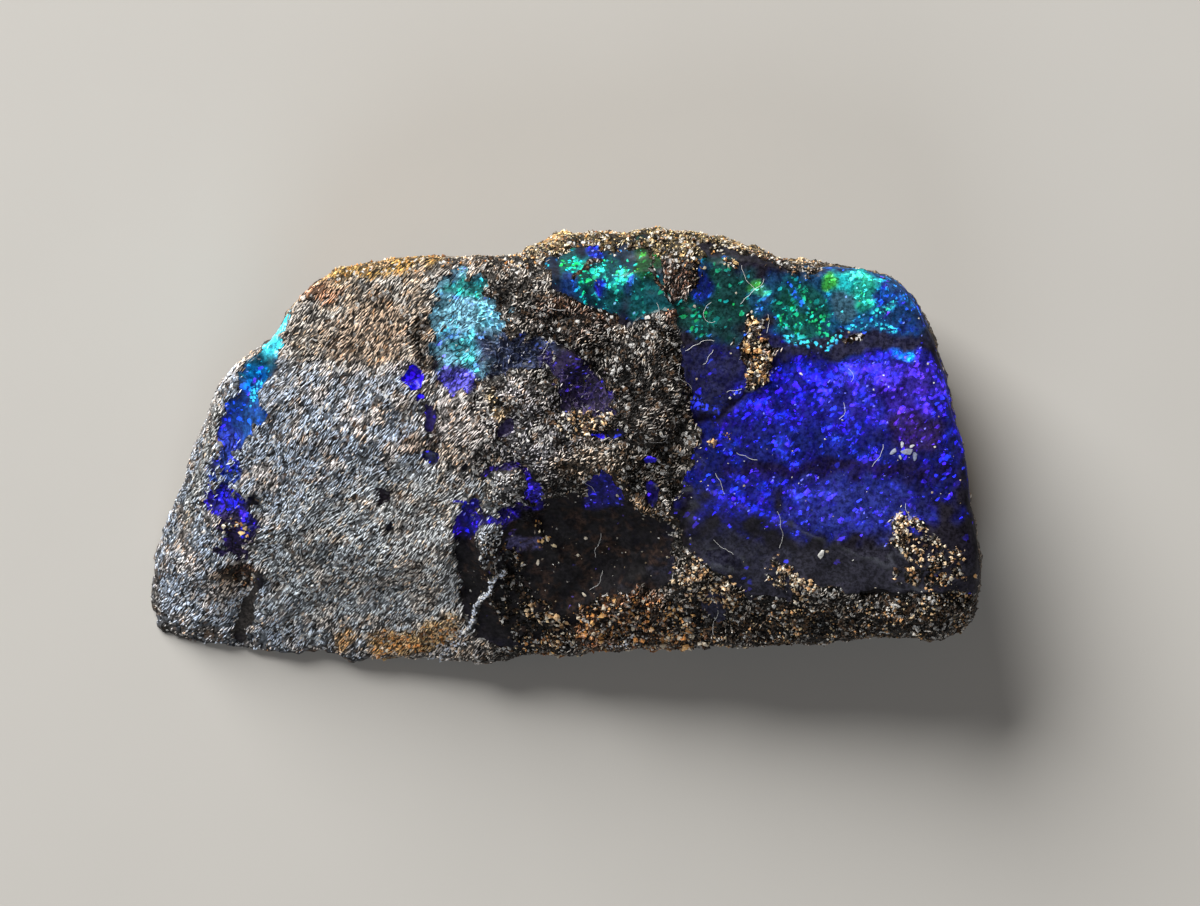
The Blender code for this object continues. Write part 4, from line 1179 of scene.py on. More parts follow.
def model_grain(flatness, looseness, seed, simple=False):
    """One angular grain of radius 1: its points, and its triangles. A simple one has only eight."""
    deselect_all()
    if simple:
        bpy.ops.mesh.primitive_cone_add(vertices=4, radius1=1.0, depth=1.0, end_fill_type="NOTHING",
                                        location=(0.0, 0.0, 0.5))
        bpy.ops.object.transform_apply(location=True, rotation=True, scale=True)
        grain = bpy.context.object
        other_half = grain.modifiers.new("other half", "MIRROR")
        other_half.use_axis = (False, False, True)
        apply_modifier(grain, other_half.name)
    else:
        bpy.ops.mesh.primitive_ico_sphere_add(subdivisions=1, radius=1.0)
        grain = bpy.context.object
    bpy.ops.object.mode_set(mode="EDIT")
    bpy.ops.mesh.select_all(action="SELECT")
    bpy.ops.transform.vertex_random(offset=looseness, seed=seed)
    bpy.ops.transform.resize(value=(1.0, GRAIN_WIDTH, flatness))
    bpy.ops.object.mode_set(mode="OBJECT")
    points = positions(grain.data) * MM
    faces = np.array([face.vertices[:] for face in grain.data.polygons])
    bpy.data.objects.remove(grain)
    return points, faces


def random_turns(count, draw):
    """Evenly spread rotations, as matrices."""
    parts = draw.normal(size=(count, 4))
    w, x, y, z = (parts / np.linalg.norm(parts, axis=1)[:, None]).T
    rows = [
        [1 - 2 * (y * y + z * z), 2 * (x * y - z * w), 2 * (x * z + y * w)],
        [2 * (x * y + z * w), 1 - 2 * (x * x + z * z), 2 * (y * z - x * w)],
        [2 * (x * z - y * w), 2 * (y * z + x * w), 1 - 2 * (x * x + y * y)],
    ]
    return np.array(rows).transpose(2, 0, 1)


def lying_turns(facing, headings):
    """Rotations that lay things on the skin, their long sides along their headings as seen from above."""
    east, north = np.cos(headings), np.sin(headings)
    climb = -(east * facing[:, 0] + north * facing[:, 1]) / np.maximum(facing[:, 2], STEEPEST)
    level = np.column_stack([east, north, climb])
    along = level - facing * np.sum(level * facing, axis=1)[:, None]
    along /= np.linalg.norm(along, axis=1)[:, None]
    across = np.cross(facing, along)
    return np.stack([along, across, facing], axis=2)


def strew(name, grain, turns, places, sizes, colours, material):
    """Join one copy of a grain at each place into a single piece."""
    points, faces = grain
    count = len(places)
    copies = np.einsum("nij,npj->npi", turns, points[None, :, :] * sizes[:, None, :]) + places[:, None, :]
    copies[:, :, 2] = np.maximum(copies[:, :, 2], 0.0)
    shifted = faces[None, :, :] + (np.arange(count) * len(points))[:, None, None]
    mesh = bpy.data.meshes.new(name)
    mesh.from_pydata((copies.reshape(-1, 3) * MM).tolist(), [], shifted.reshape(-1, 3).tolist())
    piece = bpy.data.objects.new(name, mesh)
    bpy.context.scene.collection.objects.link(piece)
    add_colours(mesh, "tint", np.repeat(colours, len(points), axis=0))
    mesh.materials.append(material)
    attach(piece, "root")
    return piece


def drawn_colours(palette, count, draw):
    """A colour of the palette for each grain, a little lighter or darker."""
    choice = draw.integers(len(palette), size=count)
    return linear(palette)[choice] * draw.uniform(1.0 - COLOUR_SPREAD, 1.0 + COLOUR_SPREAD, (count, 1))


def heading_waver(places, most):
    """How far the grain of the stone wavers at each place, in radians."""
    return waves(places, HEADING_WAVE, HEADING_SEED) * most


def bare_iron(zones):
    """Where ironstone shows, a little of it also through the films."""
    return 1.0 - zones.glass * (1.0 - FILM_GRAINS * zones.film)


def strew_ironstone(ground, name, count, seed, of_lobe, material):
    """Loose grains of the ironstone: slivers along the grain of the lobe, or crumbs elsewhere."""
    draw = np.random.default_rng(seed)
    zones = ground.zones
    share = zones.lobe if of_lobe else 1.0 - zones.lobe
    iron = bare_iron(zones) * between((SIDE_GRAINS, 1.0), zones.top) * (1.0 - zones.under)
    faces, places = ground.places(ground.over_faces(iron * share) ** 2, count, draw)
    tone = ground.tone[ground.corners[faces, 0]] * GRAIN_LIFT
    kind = draw.random(count)[:, None]
    lights, breadths, dark = (
        (LOBE_GRAIN_LIGHTS, LOBE_BREADTHS, LOBE_DARK_GRAINS) if of_lobe else
        (KNOB_GRAIN_LIGHTS, KNOB_BREADTHS, KNOB_DARK_GRAINS))
    colours = tone * draw.uniform(*lights, (count, 1))
    least, pale, of_tone, of_pale = PALE_GRAINS
    pale = linear(pale) * np.sqrt(tone.mean(axis=1))[:, None]
    colours = np.where(kind > least, tone * of_tone + pale * of_pale, colours)
    colours = np.where(kind < dark, linear(DARK_GRAIN), colours)
    least, most, warm = WARM_GRAINS
    colours = np.where((kind > least) & (kind < most), tone * linear(warm), colours)
    colours = held(colours, PALEST)
    facing = ground.facing[faces]
    breadth = draw.uniform(*breadths, (count, 1))
    if of_lobe:
        heading = GRAIN_DIRECTION + heading_waver(places, LOBE_WAVER)
        turns = lying_turns(facing, heading + draw.normal(0.0, SLIVER_STRAY, count))
        lengths, width, height = LOBE_SHAPES
        shapes = [draw.uniform(*lengths, count), np.full(count, width), np.full(count, height)]
        sizes = breadth * np.column_stack(shapes)
    else:
        turns = random_turns(count, draw)
        sizes = breadth * draw.uniform(*KNOB_SHAPES, (count, 3))
    places = places + facing * breadth * draw.uniform(*GRAIN_SINK, (count, 1))
    strew(name, model_grain(*IRONSTONE_GRAIN, simple=of_lobe), turns, places, sizes, colours, material)


def slanted_grid(ground, draw):
    """Places on a slanted grid over the plan, each nudged, then dropped on the skin from above."""
    along, across = np.meshgrid(*[np.arange(-GRID_REACH, GRID_REACH, gap) for gap in RIDGE_SPACING])
    along[::2] += RIDGE_SPACING[0] / 2.0
    along += draw.uniform(-RIDGE_NUDGE, RIDGE_NUDGE, along.shape) * RIDGE_SPACING[0]
    across += draw.uniform(-RIDGE_NUDGE, RIDGE_NUDGE, across.shape) * RIDGE_SPACING[1]
    x = along * math.cos(GRAIN_DIRECTION) - across * math.sin(GRAIN_DIRECTION)
    y = along * math.sin(GRAIN_DIRECTION) + across * math.cos(GRAIN_DIRECTION)
    inside = (np.abs(x) < STONE_REACH[0]) & (np.abs(y) < STONE_REACH[1])
    surface = BVHTree.FromPolygons(ground.points.tolist(), ground.corners.tolist(), all_triangles=True)
    faces, places = [], []
    for spot in zip(x[inside].tolist(), y[inside].tolist()):
        hit, _, face, _ = surface.ray_cast(Vector((*spot, DROP_FROM)), Vector((0.0, 0.0, -1.0)))
        if hit is not None and hit.z > LOWEST_RIDGE:
            faces.append(face)
            places.append(hit)
    return np.array(faces), np.array(places)


def strew_ridges(ground, material):
    """The close ridges of the ironstone: long grains side by side, all slanted one way."""
    draw = np.random.default_rng(RIDGE_SEED)
    zones = ground.zones
    faces, places = slanted_grid(ground, draw)
    iron = bare_iron(zones) * (1.0 - RIDGES_OFF_CRUST * zones.crust) * (1.0 - RIDGE_GAPS)
    kept = draw.random(len(faces)) < iron[ground.corners[faces, 0]] ** 2
    faces, places = faces[kept], places[kept]
    count = len(faces)
    lobe = (zones.lobe[ground.corners[faces, 0]] > 0.5)[:, None]
    facing = ground.facing[faces]
    wander = heading_waver(places, np.where(lobe[:, 0], LOBE_WAVER, KNOB_WAVER))
    stray = np.where(lobe[:, 0], LOBE_RIDGES[2], KNOB_RIDGES[2])
    turns = lying_turns(facing, GRAIN_DIRECTION + wander + draw.normal(0.0, 1.0, count) * stray)
    share = draw.random((count, 1))
    length = np.where(lobe, between(LOBE_RIDGES[0], share), between(KNOB_RIDGES[0], share))
    share = draw.random((count, 1))
    breadth = np.where(lobe, between(LOBE_RIDGES[1], share), between(KNOB_RIDGES[1], share))
    sizes = np.column_stack([length, breadth, breadth * draw.uniform(*RIDGE_HEIGHTS, (count, 1))])
    clump = smooth(layered(places, RIDGE_CLUMPS), *RIDGE_CLUMP_BLEND)[:, None]
    of_lobe, of_knobs = [least + added * clump ** power for least, added, power in
                         (LOBE_RIDGES[3], KNOB_RIDGES[3])]
    light = draw.uniform(*RIDGE_LIGHTS, (count, 1)) * np.where(lobe, of_lobe, of_knobs)
    colours = ground.tone[ground.corners[faces, 0]] * light
    # Painted shade: lobe ridges that fall on these lines are darkened, as if shaded in furrows.
    for stretch, apart, width, dark, seed in PAINTED_FURROW_SHADES:
        furrow_shade = np.abs(waves(along_grain(places) / np.array([stretch, 1.0]), apart, seed))
        furrow_shade = between((dark, 1.0), smooth(furrow_shade, 0.0, width)[:, None])
        colours *= np.where(lobe, furrow_shade, 1.0)
    pale, most = KNOB_CRESTS
    crest = np.where(lobe, 0.0, clump ** 2 * draw.uniform(0.0, most, (count, 1)))
    colours += (linear(pale) - colours) * crest
    colours = held(colours, PALEST)
    kind = draw.random((count, 1))
    least, warm = WARM_RIDGES
    colours = np.where(kind > least, colours * linear(warm), colours)
    most, dark = DARK_RIDGES
    colours = np.where(lobe & (kind < most), colours * dark, colours)
    places = places + facing * breadth * draw.uniform(*RIDGE_SINK, (count, 1))
    strew("ridge_grains", model_grain(*RIDGE_GRAIN, simple=True), turns, places, sizes, colours, material)


def strew_sand(ground, material):
    """The sandy crusts along the edges, and the grit that lies about."""
    draw = np.random.default_rng(SAND_SEED)
    all_places, all_sizes, all_colours = [], [], []
    for line, half_width, count, size, kind in SAND.values():
        near = half_width * SAND_REACH - line_distance(ground.plan, line)
        near = smooth(near, -half_width * SAND_FADE, half_width * SAND_FADE)
        near = near * (ground.facing[:, 2] > SAND_LEAST_TILT)
        if kind not in UNCRUSTED:
            near = near * (SAND_OFF_CRUST + ground.over_faces(ground.zones.crust))
        faces, places = ground.places(near, count, draw)
        sizes = size / 2.0 * draw.uniform(*SAND_SCATTER, (count, 1))
        sizes = sizes * draw.uniform(*SAND_SHAPES, (count, 3))
        heap = draw.uniform(*SAND_HEAP, (count, 1)) * sizes.mean(axis=1)[:, None]
        all_places.append(places + ground.facing[faces] * heap)
        all_sizes.append(sizes)
        clump = smooth(layered(places, SAND_CLUMPS), *SAND_CLUMP_BLEND)[:, None]
        light = SAND_DARKEST.get(kind, SAND_DARK) + SAND_LIGHT * clump
        all_colours.append(drawn_colours(SAND_COLOURS[kind], count, draw) * light)
    places = np.concatenate(all_places)
    turns = random_turns(len(places), draw)
    sizes = np.concatenate(all_sizes)
    colours = held(np.concatenate(all_colours), PALEST)
    strew("sandy_crust", model_grain(*SAND_GRAIN, simple=True), turns, places, sizes, colours, material)


def strew_chips(ground, material):
    """Thin pale flakes on the stone, a few of them large."""
    draw = np.random.default_rng(CHIP_SEED)
    zones = ground.zones
    top = ground.over_faces(zones.top * between((CHIPS_OFF_GLASS, 1.0), zones.glass))
    faces, places = ground.places(top, CHIPS, draw)
    sizes = draw.uniform(*CHIP_SIZES, (CHIPS, 1)) * draw.uniform(*CHIP_SHAPES, (CHIPS, 3))
    colours = drawn_colours(SAND_COLOURS["white"], CHIPS, draw)
    for spot, radius, colour in LARGE_CHIPS:
        steep = ground.facing[:, 2] < CHIP_LEAST_TILT
        nearest = np.argmin(np.hypot(*(ground.plan - np.array(spot)).T) + steep * FAR)
        faces = np.append(faces, nearest)
        places = np.vstack([places, ground.points[ground.corners[nearest]].mean(axis=0)])
        sizes = np.vstack([sizes, [radius * part for part in LARGE_CHIP_SHAPE]])
        colours = np.vstack([colours, linear(colour)])
    turns = lying_turns(ground.facing[faces], draw.uniform(0.0, 2.0 * math.pi, len(places)))
    lift = ground.facing[faces] * (sizes[:, 2] * CHIP_LIFT)[:, None]
    strew("chips", model_grain(*CHIP_GRAIN), turns, places + lift, sizes, colours, material)


def lay_lint(skin, material):
    """Fine fibres caught on the stone, each draped over what lies under it."""
    draw = np.random.default_rng(LINT_SEED)
    surface = BVHTree.FromObject(skin, bpy.context.evaluated_depsgraph_get())
    deselect_all()
    fibres = []
    for start, heading, length, bend in LINT + stray_lint(draw):
        place = np.array(start, dtype=float)
        angle = math.radians(heading)
        path = []
        for _ in range(int(length / LINT_STEP) + 2):
            place = place + np.array([math.cos(angle), math.sin(angle)]) * LINT_STEP
            angle += math.radians(bend + draw.uniform(-LINT_WOBBLE, LINT_WOBBLE))
            path.append(on_skin(surface, place))
        path = [spot for spot in path if spot is not None]
        if len(path) > 3:
            fibres.append(fibre(path))
    for piece in fibres:
        piece.select_set(True)
    bpy.context.view_layer.objects.active = fibres[0]
    bpy.ops.object.convert(target="MESH")
    bpy.ops.object.join()
    lint = bpy.context.object
    lint.name = lint.data.name = "lint"
    lint.data.materials.clear()
    lint.data.materials.append(material)
    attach(lint, "root")


def stray_lint(draw):
    """More fibres at random over the glass: start, heading, length and bend for each step."""
    strays = []
    for _ in range(STRAY_LINT):
        start = [draw.uniform(*reach) for reach in STRAY_STARTS]
        heading = draw.uniform(0.0, 360.0)
        strays.append((start, heading, draw.uniform(*STRAY_LENGTHS), draw.uniform(*STRAY_BENDS)))
    return strays


def on_skin(surface, place):
    """The spot just above the skin where a plan point falls, in metres."""
    eye = Vector(EYE) * MM
    target = Vector((place[0], place[1], PLAN_HEIGHT)) * MM
    hit, facing, _, _ = surface.ray_cast(eye, (target - eye).normalized())
    return None if hit is None or facing.z < LINT_LEAST_TILT else hit + facing * LINT_LIFT * MM


def fibre(path):
    """One fibre as a thin round curve through its spots."""
    curve = bpy.data.curves.new("fibre", "CURVE")
    curve.dimensions = "3D"
    curve.bevel_depth = LINT_RADIUS * MM
    curve.bevel_resolution = 0
    curve.use_fill_caps = True
    spline = curve.splines.new("POLY")
    spline.points.add(len(path) - 1)
    heights = [spot.z for spot in path]
    for index, spot in enumerate(path):
        around = heights[max(0, index - 1):index + 2]
        spline.points[index].co = (spot.x, spot.y, max(spot.z, sum(around) / len(around)), 1.0)
    piece = bpy.data.objects.new("fibre", curve)
    bpy.context.scene.collection.objects.link(piece)
    return piece


# ================================================================ shader nodes
def put(tree, kind, inputs=None, **settings):
    """Add a node, set it, and fill its sockets with values or with other sockets."""
    node = tree.nodes.new(kind)
    for name, value in settings.items():
        setattr(node, name, value)
    for key, value in (inputs or {}).items():
        socket = node.inputs[key]
        if isinstance(value, bpy.types.NodeSocket):
            tree.links.new(value, socket)
        else:
            socket.default_value = value
    return node


def sum_up(tree, operation, first, second, clamp=False):
    """Work out two numbers with one of the math node's operations."""
    node = put(tree, "ShaderNodeMath", {0: first, 1: second}, operation=operation, use_clamp=clamp)
    return node.outputs[0]


def times(tree, first, second):
    return sum_up(tree, "MULTIPLY", first, second)


def plus(tree, first, second):
    return sum_up(tree, "ADD", first, second)


def minus(tree, first, second):
    return sum_up(tree, "SUBTRACT", first, second)


def ramp(tree, value, low, high, to_low=0.0, to_high=1.0):
    """Take a value from one range to another along an easy curve."""
    node = put(tree, "ShaderNodeMapRange", {"Value": value, "From Min": low, "From Max": high,
                                            "To Min": to_low, "To Max": to_high},
               interpolation_type="SMOOTHSTEP")
    return node.outputs["Result"]


def blend(tree, amount, first, second, how="MIX"):
    """Lay a second colour over a first, mixed, multiplied or added."""
    node = tree.nodes.new("ShaderNodeMix")
    node.data_type = "RGBA"
    node.blend_type = how
    sockets = {"Factor": node.inputs[0], "A": node.inputs[6], "B": node.inputs[7]}
    for key, value in {"Factor": amount, "A": first, "B": second}.items():
        if isinstance(value, bpy.types.NodeSocket):
            tree.links.new(value, sockets[key])
        else:
            sockets[key].default_value = value
    return node.outputs[2]


def attribute(tree, name):
    return put(tree, "ShaderNodeAttribute", attribute_name=name)


def noise_at(tree, place, size, detail=2.0, roughness=0.55, output="Fac"):
    node = put(tree, "ShaderNodeTexNoise", {"Vector": place, "Scale": 1.0 / (size * MM), "Detail": detail,
                                           "Roughness": roughness})
    return node.outputs[output]


def cells_at(tree, place, size):
    """A Voronoi of cells of one size: its distance and its random colour."""
    settings = {"Vector": place, "Scale": 1.0 / (size * MM), "Randomness": 1.0}
    node = put(tree, "ShaderNodeTexVoronoi", settings)
    return node.outputs["Distance"], node.outputs["Color"]


def channels(tree, colour):
    """The three parts of a colour, as a cell's three random numbers."""
    return put(tree, "ShaderNodeSeparateColor", {"Color": colour}).outputs


def grey_of(tree, value):
    return put(tree, "ShaderNodeCombineColor", {0: value, 1: value, 2: value}).outputs[0]


def turned(tree, place, angle, stretch):
    """A place measured along and across a slanted direction, and drawn out along it."""
    settings = {"Vector": place, "Rotation": (0.0, 0.0, angle), "Scale": (stretch, 1.0, 1.0)}
    return put(tree, "ShaderNodeMapping", settings, vector_type="TEXTURE").outputs[0]


def swayed(tree, place, size, reach, detail):
    """A place pushed about by soft noise of one size, as far as a reach in millimetres."""
    push = noise_at(tree, place, size, detail=detail, output="Color")
    push = put(tree, "ShaderNodeVectorMath", {0: push, 1: (0.5, 0.5, 0.5)}, operation="SUBTRACT").outputs[0]
    push = put(tree, "ShaderNodeVectorMath", {0: push, "Scale": reach * MM}, operation="SCALE").outputs[0]
    return put(tree, "ShaderNodeVectorMath", {0: place, 1: push}, operation="ADD").outputs[0]


def chipping(tree, place):
    """How far the edge of a flake is chipped in or out."""
    size, depth = FLAKE_CHIPPING
    return times(tree, minus(tree, noise_at(tree, place, size, detail=1.0), 0.5), depth)


def new_group(name, inputs, outputs):
    """A shader node group with named sockets: returns its tree, its input sockets and its output node."""
    tree = bpy.data.node_groups.new(name, "ShaderNodeTree")
    for label, kind, default in inputs:
        socket = tree.interface.new_socket(label, in_out="INPUT", socket_type=kind)
        if default is not None:
            socket.default_value = default
    for label, kind in outputs:
        tree.interface.new_socket(label, in_out="OUTPUT", socket_type=kind)
    inlet = tree.nodes.new("NodeGroupInput")
    outlet = tree.nodes.new("NodeGroupOutput")
    return tree, inlet.outputs, outlet.inputs


def fill(tree, group, inputs):
    """Place a node group, and fill its sockets with values or with other sockets."""
    node = tree.nodes.new("ShaderNodeGroup")
    node.node_tree = group
    for key, value in inputs.items():
        if isinstance(value, bpy.types.NodeSocket):
            tree.links.new(value, node.inputs[key])
        else:
            node.inputs[key].default_value = value
    return node.outputs


def share_out(tree, share, first, second):
    """A number that goes from the first to the second as the share goes from 0 to 1."""
    return put(tree, "ShaderNodeMix", {"Factor": share, "A": first, "B": second}).outputs[0]


def speckle_and_shade_group():
    """Mineral speckle: a colour broken into light, dark and rusty grains, with painted shade in the grooves
    and painted light on the crests of fine ridges, and the height of the grains and ridges.
    """
    tree, given, out = new_group(
        "mineral speckle",
        [("Place", "NodeSocketVector", None), ("Colour", "NodeSocketColor", (0.3, 0.28, 0.26, 1.0)),
         ("Contrast", "NodeSocketFloat", 1.0), ("Ridges", "NodeSocketFloat", 1.0),
         ("Streaks", "NodeSocketFloat", 0.0)],
        [("Colour", "NodeSocketColor"), ("Shade", "NodeSocketFloat"), ("Height", "NodeSocketFloat")],
    )
    place = given["Place"]
    gap, kind = cells_at(tree, place, SPECK_SIZE)
    split = channels(tree, kind)
    mottle = ramp(tree, noise_at(tree, place, *MOTTLE), 0.3, 0.7, *MOTTLE_SHADES)
    lightness = times(tree, ramp(tree, split[0], 0.0, 1.0, *SPECK_SHADES), mottle)
    spread = times(tree, minus(tree, lightness, 1.0), given["Contrast"])
    slanted = turned(tree, place, GRAIN_DIRECTION, STREAK_STRETCH)
    long_ridge = noise_at(tree, slanted, STREAK_BREADTH, detail=1.0)
    round_ridge = noise_at(tree, place, WORM_BREADTH, detail=1.0)
    ridge = share_out(tree, given["Streaks"], round_ridge, long_ridge)
    off_line = sum_up(tree, "ABSOLUTE", minus(tree, ridge, 0.5), 0.0)
    worm = ramp(tree, off_line, RIDGE_WIDTH, 0.0)
    parted = ramp(tree, off_line, 0.0, GROOVE_WIDTH)
    ridge = share_out(tree, given["Streaks"], worm, parted)
    # Painted shade and light: the ridge pattern darkens the colour in its grooves and lightens it on its
    # crests.
    streak = ramp(tree, ridge, 0.0, 1.0, STREAK_PAINTED_SHADES[0] - 1.0, STREAK_PAINTED_SHADES[1] - 1.0)
    streak = plus(tree, times(tree, streak, given["Ridges"]), 1.0)
    spread = times(tree, plus(tree, spread, 1.0), streak)
    grained = blend(tree, 1.0, given["Colour"], grey_of(tree, spread), "MULTIPLY")
    for part, (edge, strength, colour) in ((split[1], WHITE_SPECKS), (split[2], DARK_SPECKS)):
        amount = sum_up(tree, "MULTIPLY", ramp(tree, part, *edge), given["Contrast"], clamp=True)
        grained = blend(tree, times(tree, amount, strength), grained, colour)
    edge, strength, colour = RUST_SPECKS
    grained = blend(tree, times(tree, ramp(tree, split[1], *edge), strength), grained, colour)
    tree.links.new(grained, out["Colour"])
    tree.links.new(spread, out["Shade"])
    height = minus(tree, times(tree, noise_at(tree, place, TOOTH_SIZE), TOOTH_HEIGHT), gap)
    crest = times(tree, times(tree, ridge, STREAK_RELIEF), given["Ridges"])
    tree.links.new(plus(tree, height, crest), out["Height"])
    return tree


def strayed(tree, colour, drift, stray):
    """A colour whose hue is moved by a drift of 0 to 1, as far as the stray says."""
    hue = plus(tree, times(tree, minus(tree, drift, HUE_LEAN), stray), 0.5)
    return put(tree, "ShaderNodeHueSaturation", {"Hue": hue, "Color": colour}).outputs[0]


def play_group():
    """Play of colour: flakes of light in two sizes over a haze, more of them where the fire is strong."""
    tree, given, out = new_group(
        "play of colour",
        [("Place", "NodeSocketVector", None), ("Flame", "NodeSocketColor", (0.0, 0.0, 1.0, 1.0)),
         ("Fire", "NodeSocketFloat", 0.5)],
        [("Light", "NodeSocketColor")],
    )
    place = given["Place"]
    flame = given["Flame"]
    pushed = swayed(tree, place, *FLAKE_SWAY, detail=3.0)
    cloud = ramp(tree, noise_at(tree, place, *CLOUDS), *CLOUD_EDGE, *CLOUD_LIGHTS)
    fire = times(tree, given["Fire"], cloud)
    push = times(tree, minus(tree, fire, MIDDLE_FIRE), FIRE_PUSH)
    patch = ramp(tree, plus(tree, noise_at(tree, pushed, *PATCHES_OF_HAZE), push), *HAZE_EDGE)
    _, kind = cells_at(tree, pushed, PLATE_SIZE)
    patch = times(tree, patch, ramp(tree, channels(tree, kind)[0], 0.0, 1.0, *PLATE_LIGHTS))
    light = plus(tree, times(tree, patch, PATCH_GLOW), GLOW)
    curtain = noise_at(tree, turned(tree, pushed, CURTAIN_SLANT, CURTAIN_STRETCH), *CURTAINS)
    light = times(tree, light, ramp(tree, curtain, *CURTAIN_EDGE, *CURTAIN_SHADES))
    light = times(tree, light, fire)
    green = channels(tree, flame)[1]
    light = times(tree, light, ramp(tree, green, *GREEN_FROM, 1.0, GREEN_HAZE))
    chance = plus(tree, times(tree, patch, PATCH_CHANCE), LEAST_CHANCE)
    chance = times(tree, chance, fire)
    chance = times(tree, chance, ramp(tree, green, *GREEN_FROM, 1.0, GREEN_FLAKES))
    stray = ramp(tree, green, *GREEN_FROM, *HUE_STRAY)
    drift_size, drift_low, drift_high = HUE_DRIFT
    drift = ramp(tree, noise_at(tree, place, drift_size), drift_low, drift_high)
    total = blend(tree, 1.0, strayed(tree, flame, drift, stray), grey_of(tree, light), "MULTIPLY")
    slanted = turned(tree, pushed, FLAKE_SLANT, FLAKE_STRETCH)
    chipped = chipping(tree, place)
    for size, strength, share in FLAKES:
        gap, kind = cells_at(tree, slanted, size)
        split = channels(tree, kind)
        lit = sum_up(tree, "LESS_THAN", split[0], times(tree, chance, share))
        glow = times(tree, lit, ramp(tree, split[1], 0.0, 1.0, *FLAKE_LIGHTS))
        glow = times(tree, glow, ramp(tree, plus(tree, gap, chipped), *FLAKE_EDGE))
        glow = times(tree, glow, strength)
        flake = blend(tree, 1.0, strayed(tree, flame, split[2], stray), grey_of(tree, glow), "MULTIPLY")
        total = blend(tree, 1.0, total, flake, "ADD")
    gaps = ramp(tree, noise_at(tree, pushed, GAP_BREADTH), *GAP_EDGE, *GAP_SHADES)
    total = blend(tree, 1.0, total, grey_of(tree, gaps), "MULTIPLY")
    gap, kind = cells_at(tree, slanted, GLINT_SIZE)
    glint = sum_up(tree, "LESS_THAN", channels(tree, kind)[0], times(tree, fire, GLINT_SHARE))
    glint = times(tree, glint, ramp(tree, gap, *GLINT_EDGE))
    spark = blend(tree, GLINT_TINT, GLINT_COLOUR, flame)
    tree.links.new(blend(tree, glint, total, spark), out["Light"])
    return tree


def fade(tree, value, at_none, at_full):
    """A number that goes straight from one value to another as a value goes from 0 to 1."""
    settings = {"Value": value, "To Min": at_none, "To Max": at_full}
    return put(tree, "ShaderNodeMapRange", settings).outputs[0]


def bump(tree, shader, height, strength, depth):
    """Give a shader fine relief, its depth in millimetres."""
    node = put(tree, "ShaderNodeBump", {"Strength": strength, "Distance": depth * MM, "Height": height})
    tree.links.new(node.outputs[0], shader.inputs["Normal"])


def new_material(name):
    """A material with its tree, its Principled BSDF and the place on the piece."""
    material = bpy.data.materials.new(name)
    material.use_nodes = True
    material.cycles.emission_sampling = "NONE"
    tree = material.node_tree
    shader = tree.nodes["Principled BSDF"]
    place = put(tree, "ShaderNodeTexCoord").outputs["Object"]
    return material, tree, shader, place


def stone_material(speckle_and_shade, play):
    """Ironstone and opal in one skin: the painted fields say which is where."""
    material, tree, shader, place = new_material("boulder opal")
    tone, body, flame = [attribute(tree, name).outputs["Color"] for name in ("tone", "body", "spark")]
    fields = ("glass", "fire", "rows", "polish", "lobe", "film")
    glass, fire, rows, polish, lobe, film = [attribute(tree, name).outputs["Fac"] for name in fields]
    size, reach = EDGE_FRAY
    fray = ramp(tree, noise_at(tree, place, size, detail=3.0), 0.3, 0.7, -reach, reach)
    glass = ramp(tree, plus(tree, glass, fray), *EDGE_SHARPNESS)
    pushed = swayed(tree, place, *STREAK_SWAY, detail=1.0)
    iron = fill(tree, speckle_and_shade, {"Place": pushed, "Colour": tone, "Contrast": 1.0, "Streaks": lobe})
    opal = fill(tree, play, {"Place": place, "Flame": flame, "Fire": fire})
    gap, kind = cells_at(tree, place, ROW_DOT_SIZE)
    dots = ramp(tree, plus(tree, gap, chipping(tree, place)), *ROW_DOT_EDGE)
    dots = times(tree, times(tree, dots, ramp(tree, channels(tree, kind)[0], *ROW_DOTS_LIT)), rows)
    light = blend(tree, dots, opal["Light"], flame)
    depth, fine = [ramp(tree, noise_at(tree, place, *grain), *edge, *shades) for grain, edge, shades in
                   (BODY_DEPTH, BODY_GRAIN)]
    body = blend(tree, 1.0, body, grey_of(tree, times(tree, depth, fine)), "MULTIPLY")
    veil = grey_of(tree, sum_up(tree, "POWER", iron["Shade"], times(tree, film, FILM_VEIL)))
    body = blend(tree, 1.0, blend(tree, FLAKE_IN_COLOUR, body, light, "ADD"), veil, "MULTIPLY")
    light = blend(tree, 1.0, light, veil, "MULTIPLY")
    tree.links.new(blend(tree, glass, iron["Colour"], body), shader.inputs["Base Color"])
    # Painted light: the opal's play of colour glows as emission.
    tree.links.new(blend(tree, glass, (0.0, 0.0, 0.0, 1.0), light), shader.inputs["Emission Color"])
    shader.inputs["Emission Strength"].default_value = GLOW_STRENGTH
    scuffs, edge, gloss = SCUFFS
    scuffs = ramp(tree, noise_at(tree, place, *scuffs), *edge, *gloss)
    gloss = plus(tree, scuffs, ramp(tree, polish, 0.0, 1.0, SLOPE_DULLNESS, 0.0))
    roughness = fade(tree, glass, IRON_ROUGHNESS, 0.0)
    tree.links.new(plus(tree, roughness, times(tree, glass, gloss)), shader.inputs["Roughness"])
    shader.inputs["IOR"].default_value = GLASS_IOR
    shader.inputs["Specular IOR Level"].default_value = SKIN_SPECULAR
    clear = times(tree, glass, ramp(tree, film, 0.0, 1.0, 1.0, FILM_SMOOTHNESS))
    size, swell = GLASS_WAVE
    wave = times(tree, times(tree, glass, noise_at(tree, place, size)), swell)
    height = plus(tree, times(tree, fade(tree, clear, 1.0, 0.0), iron["Height"]), wave)
    bump(tree, shader, height, *SKIN_BUMP)
    return material


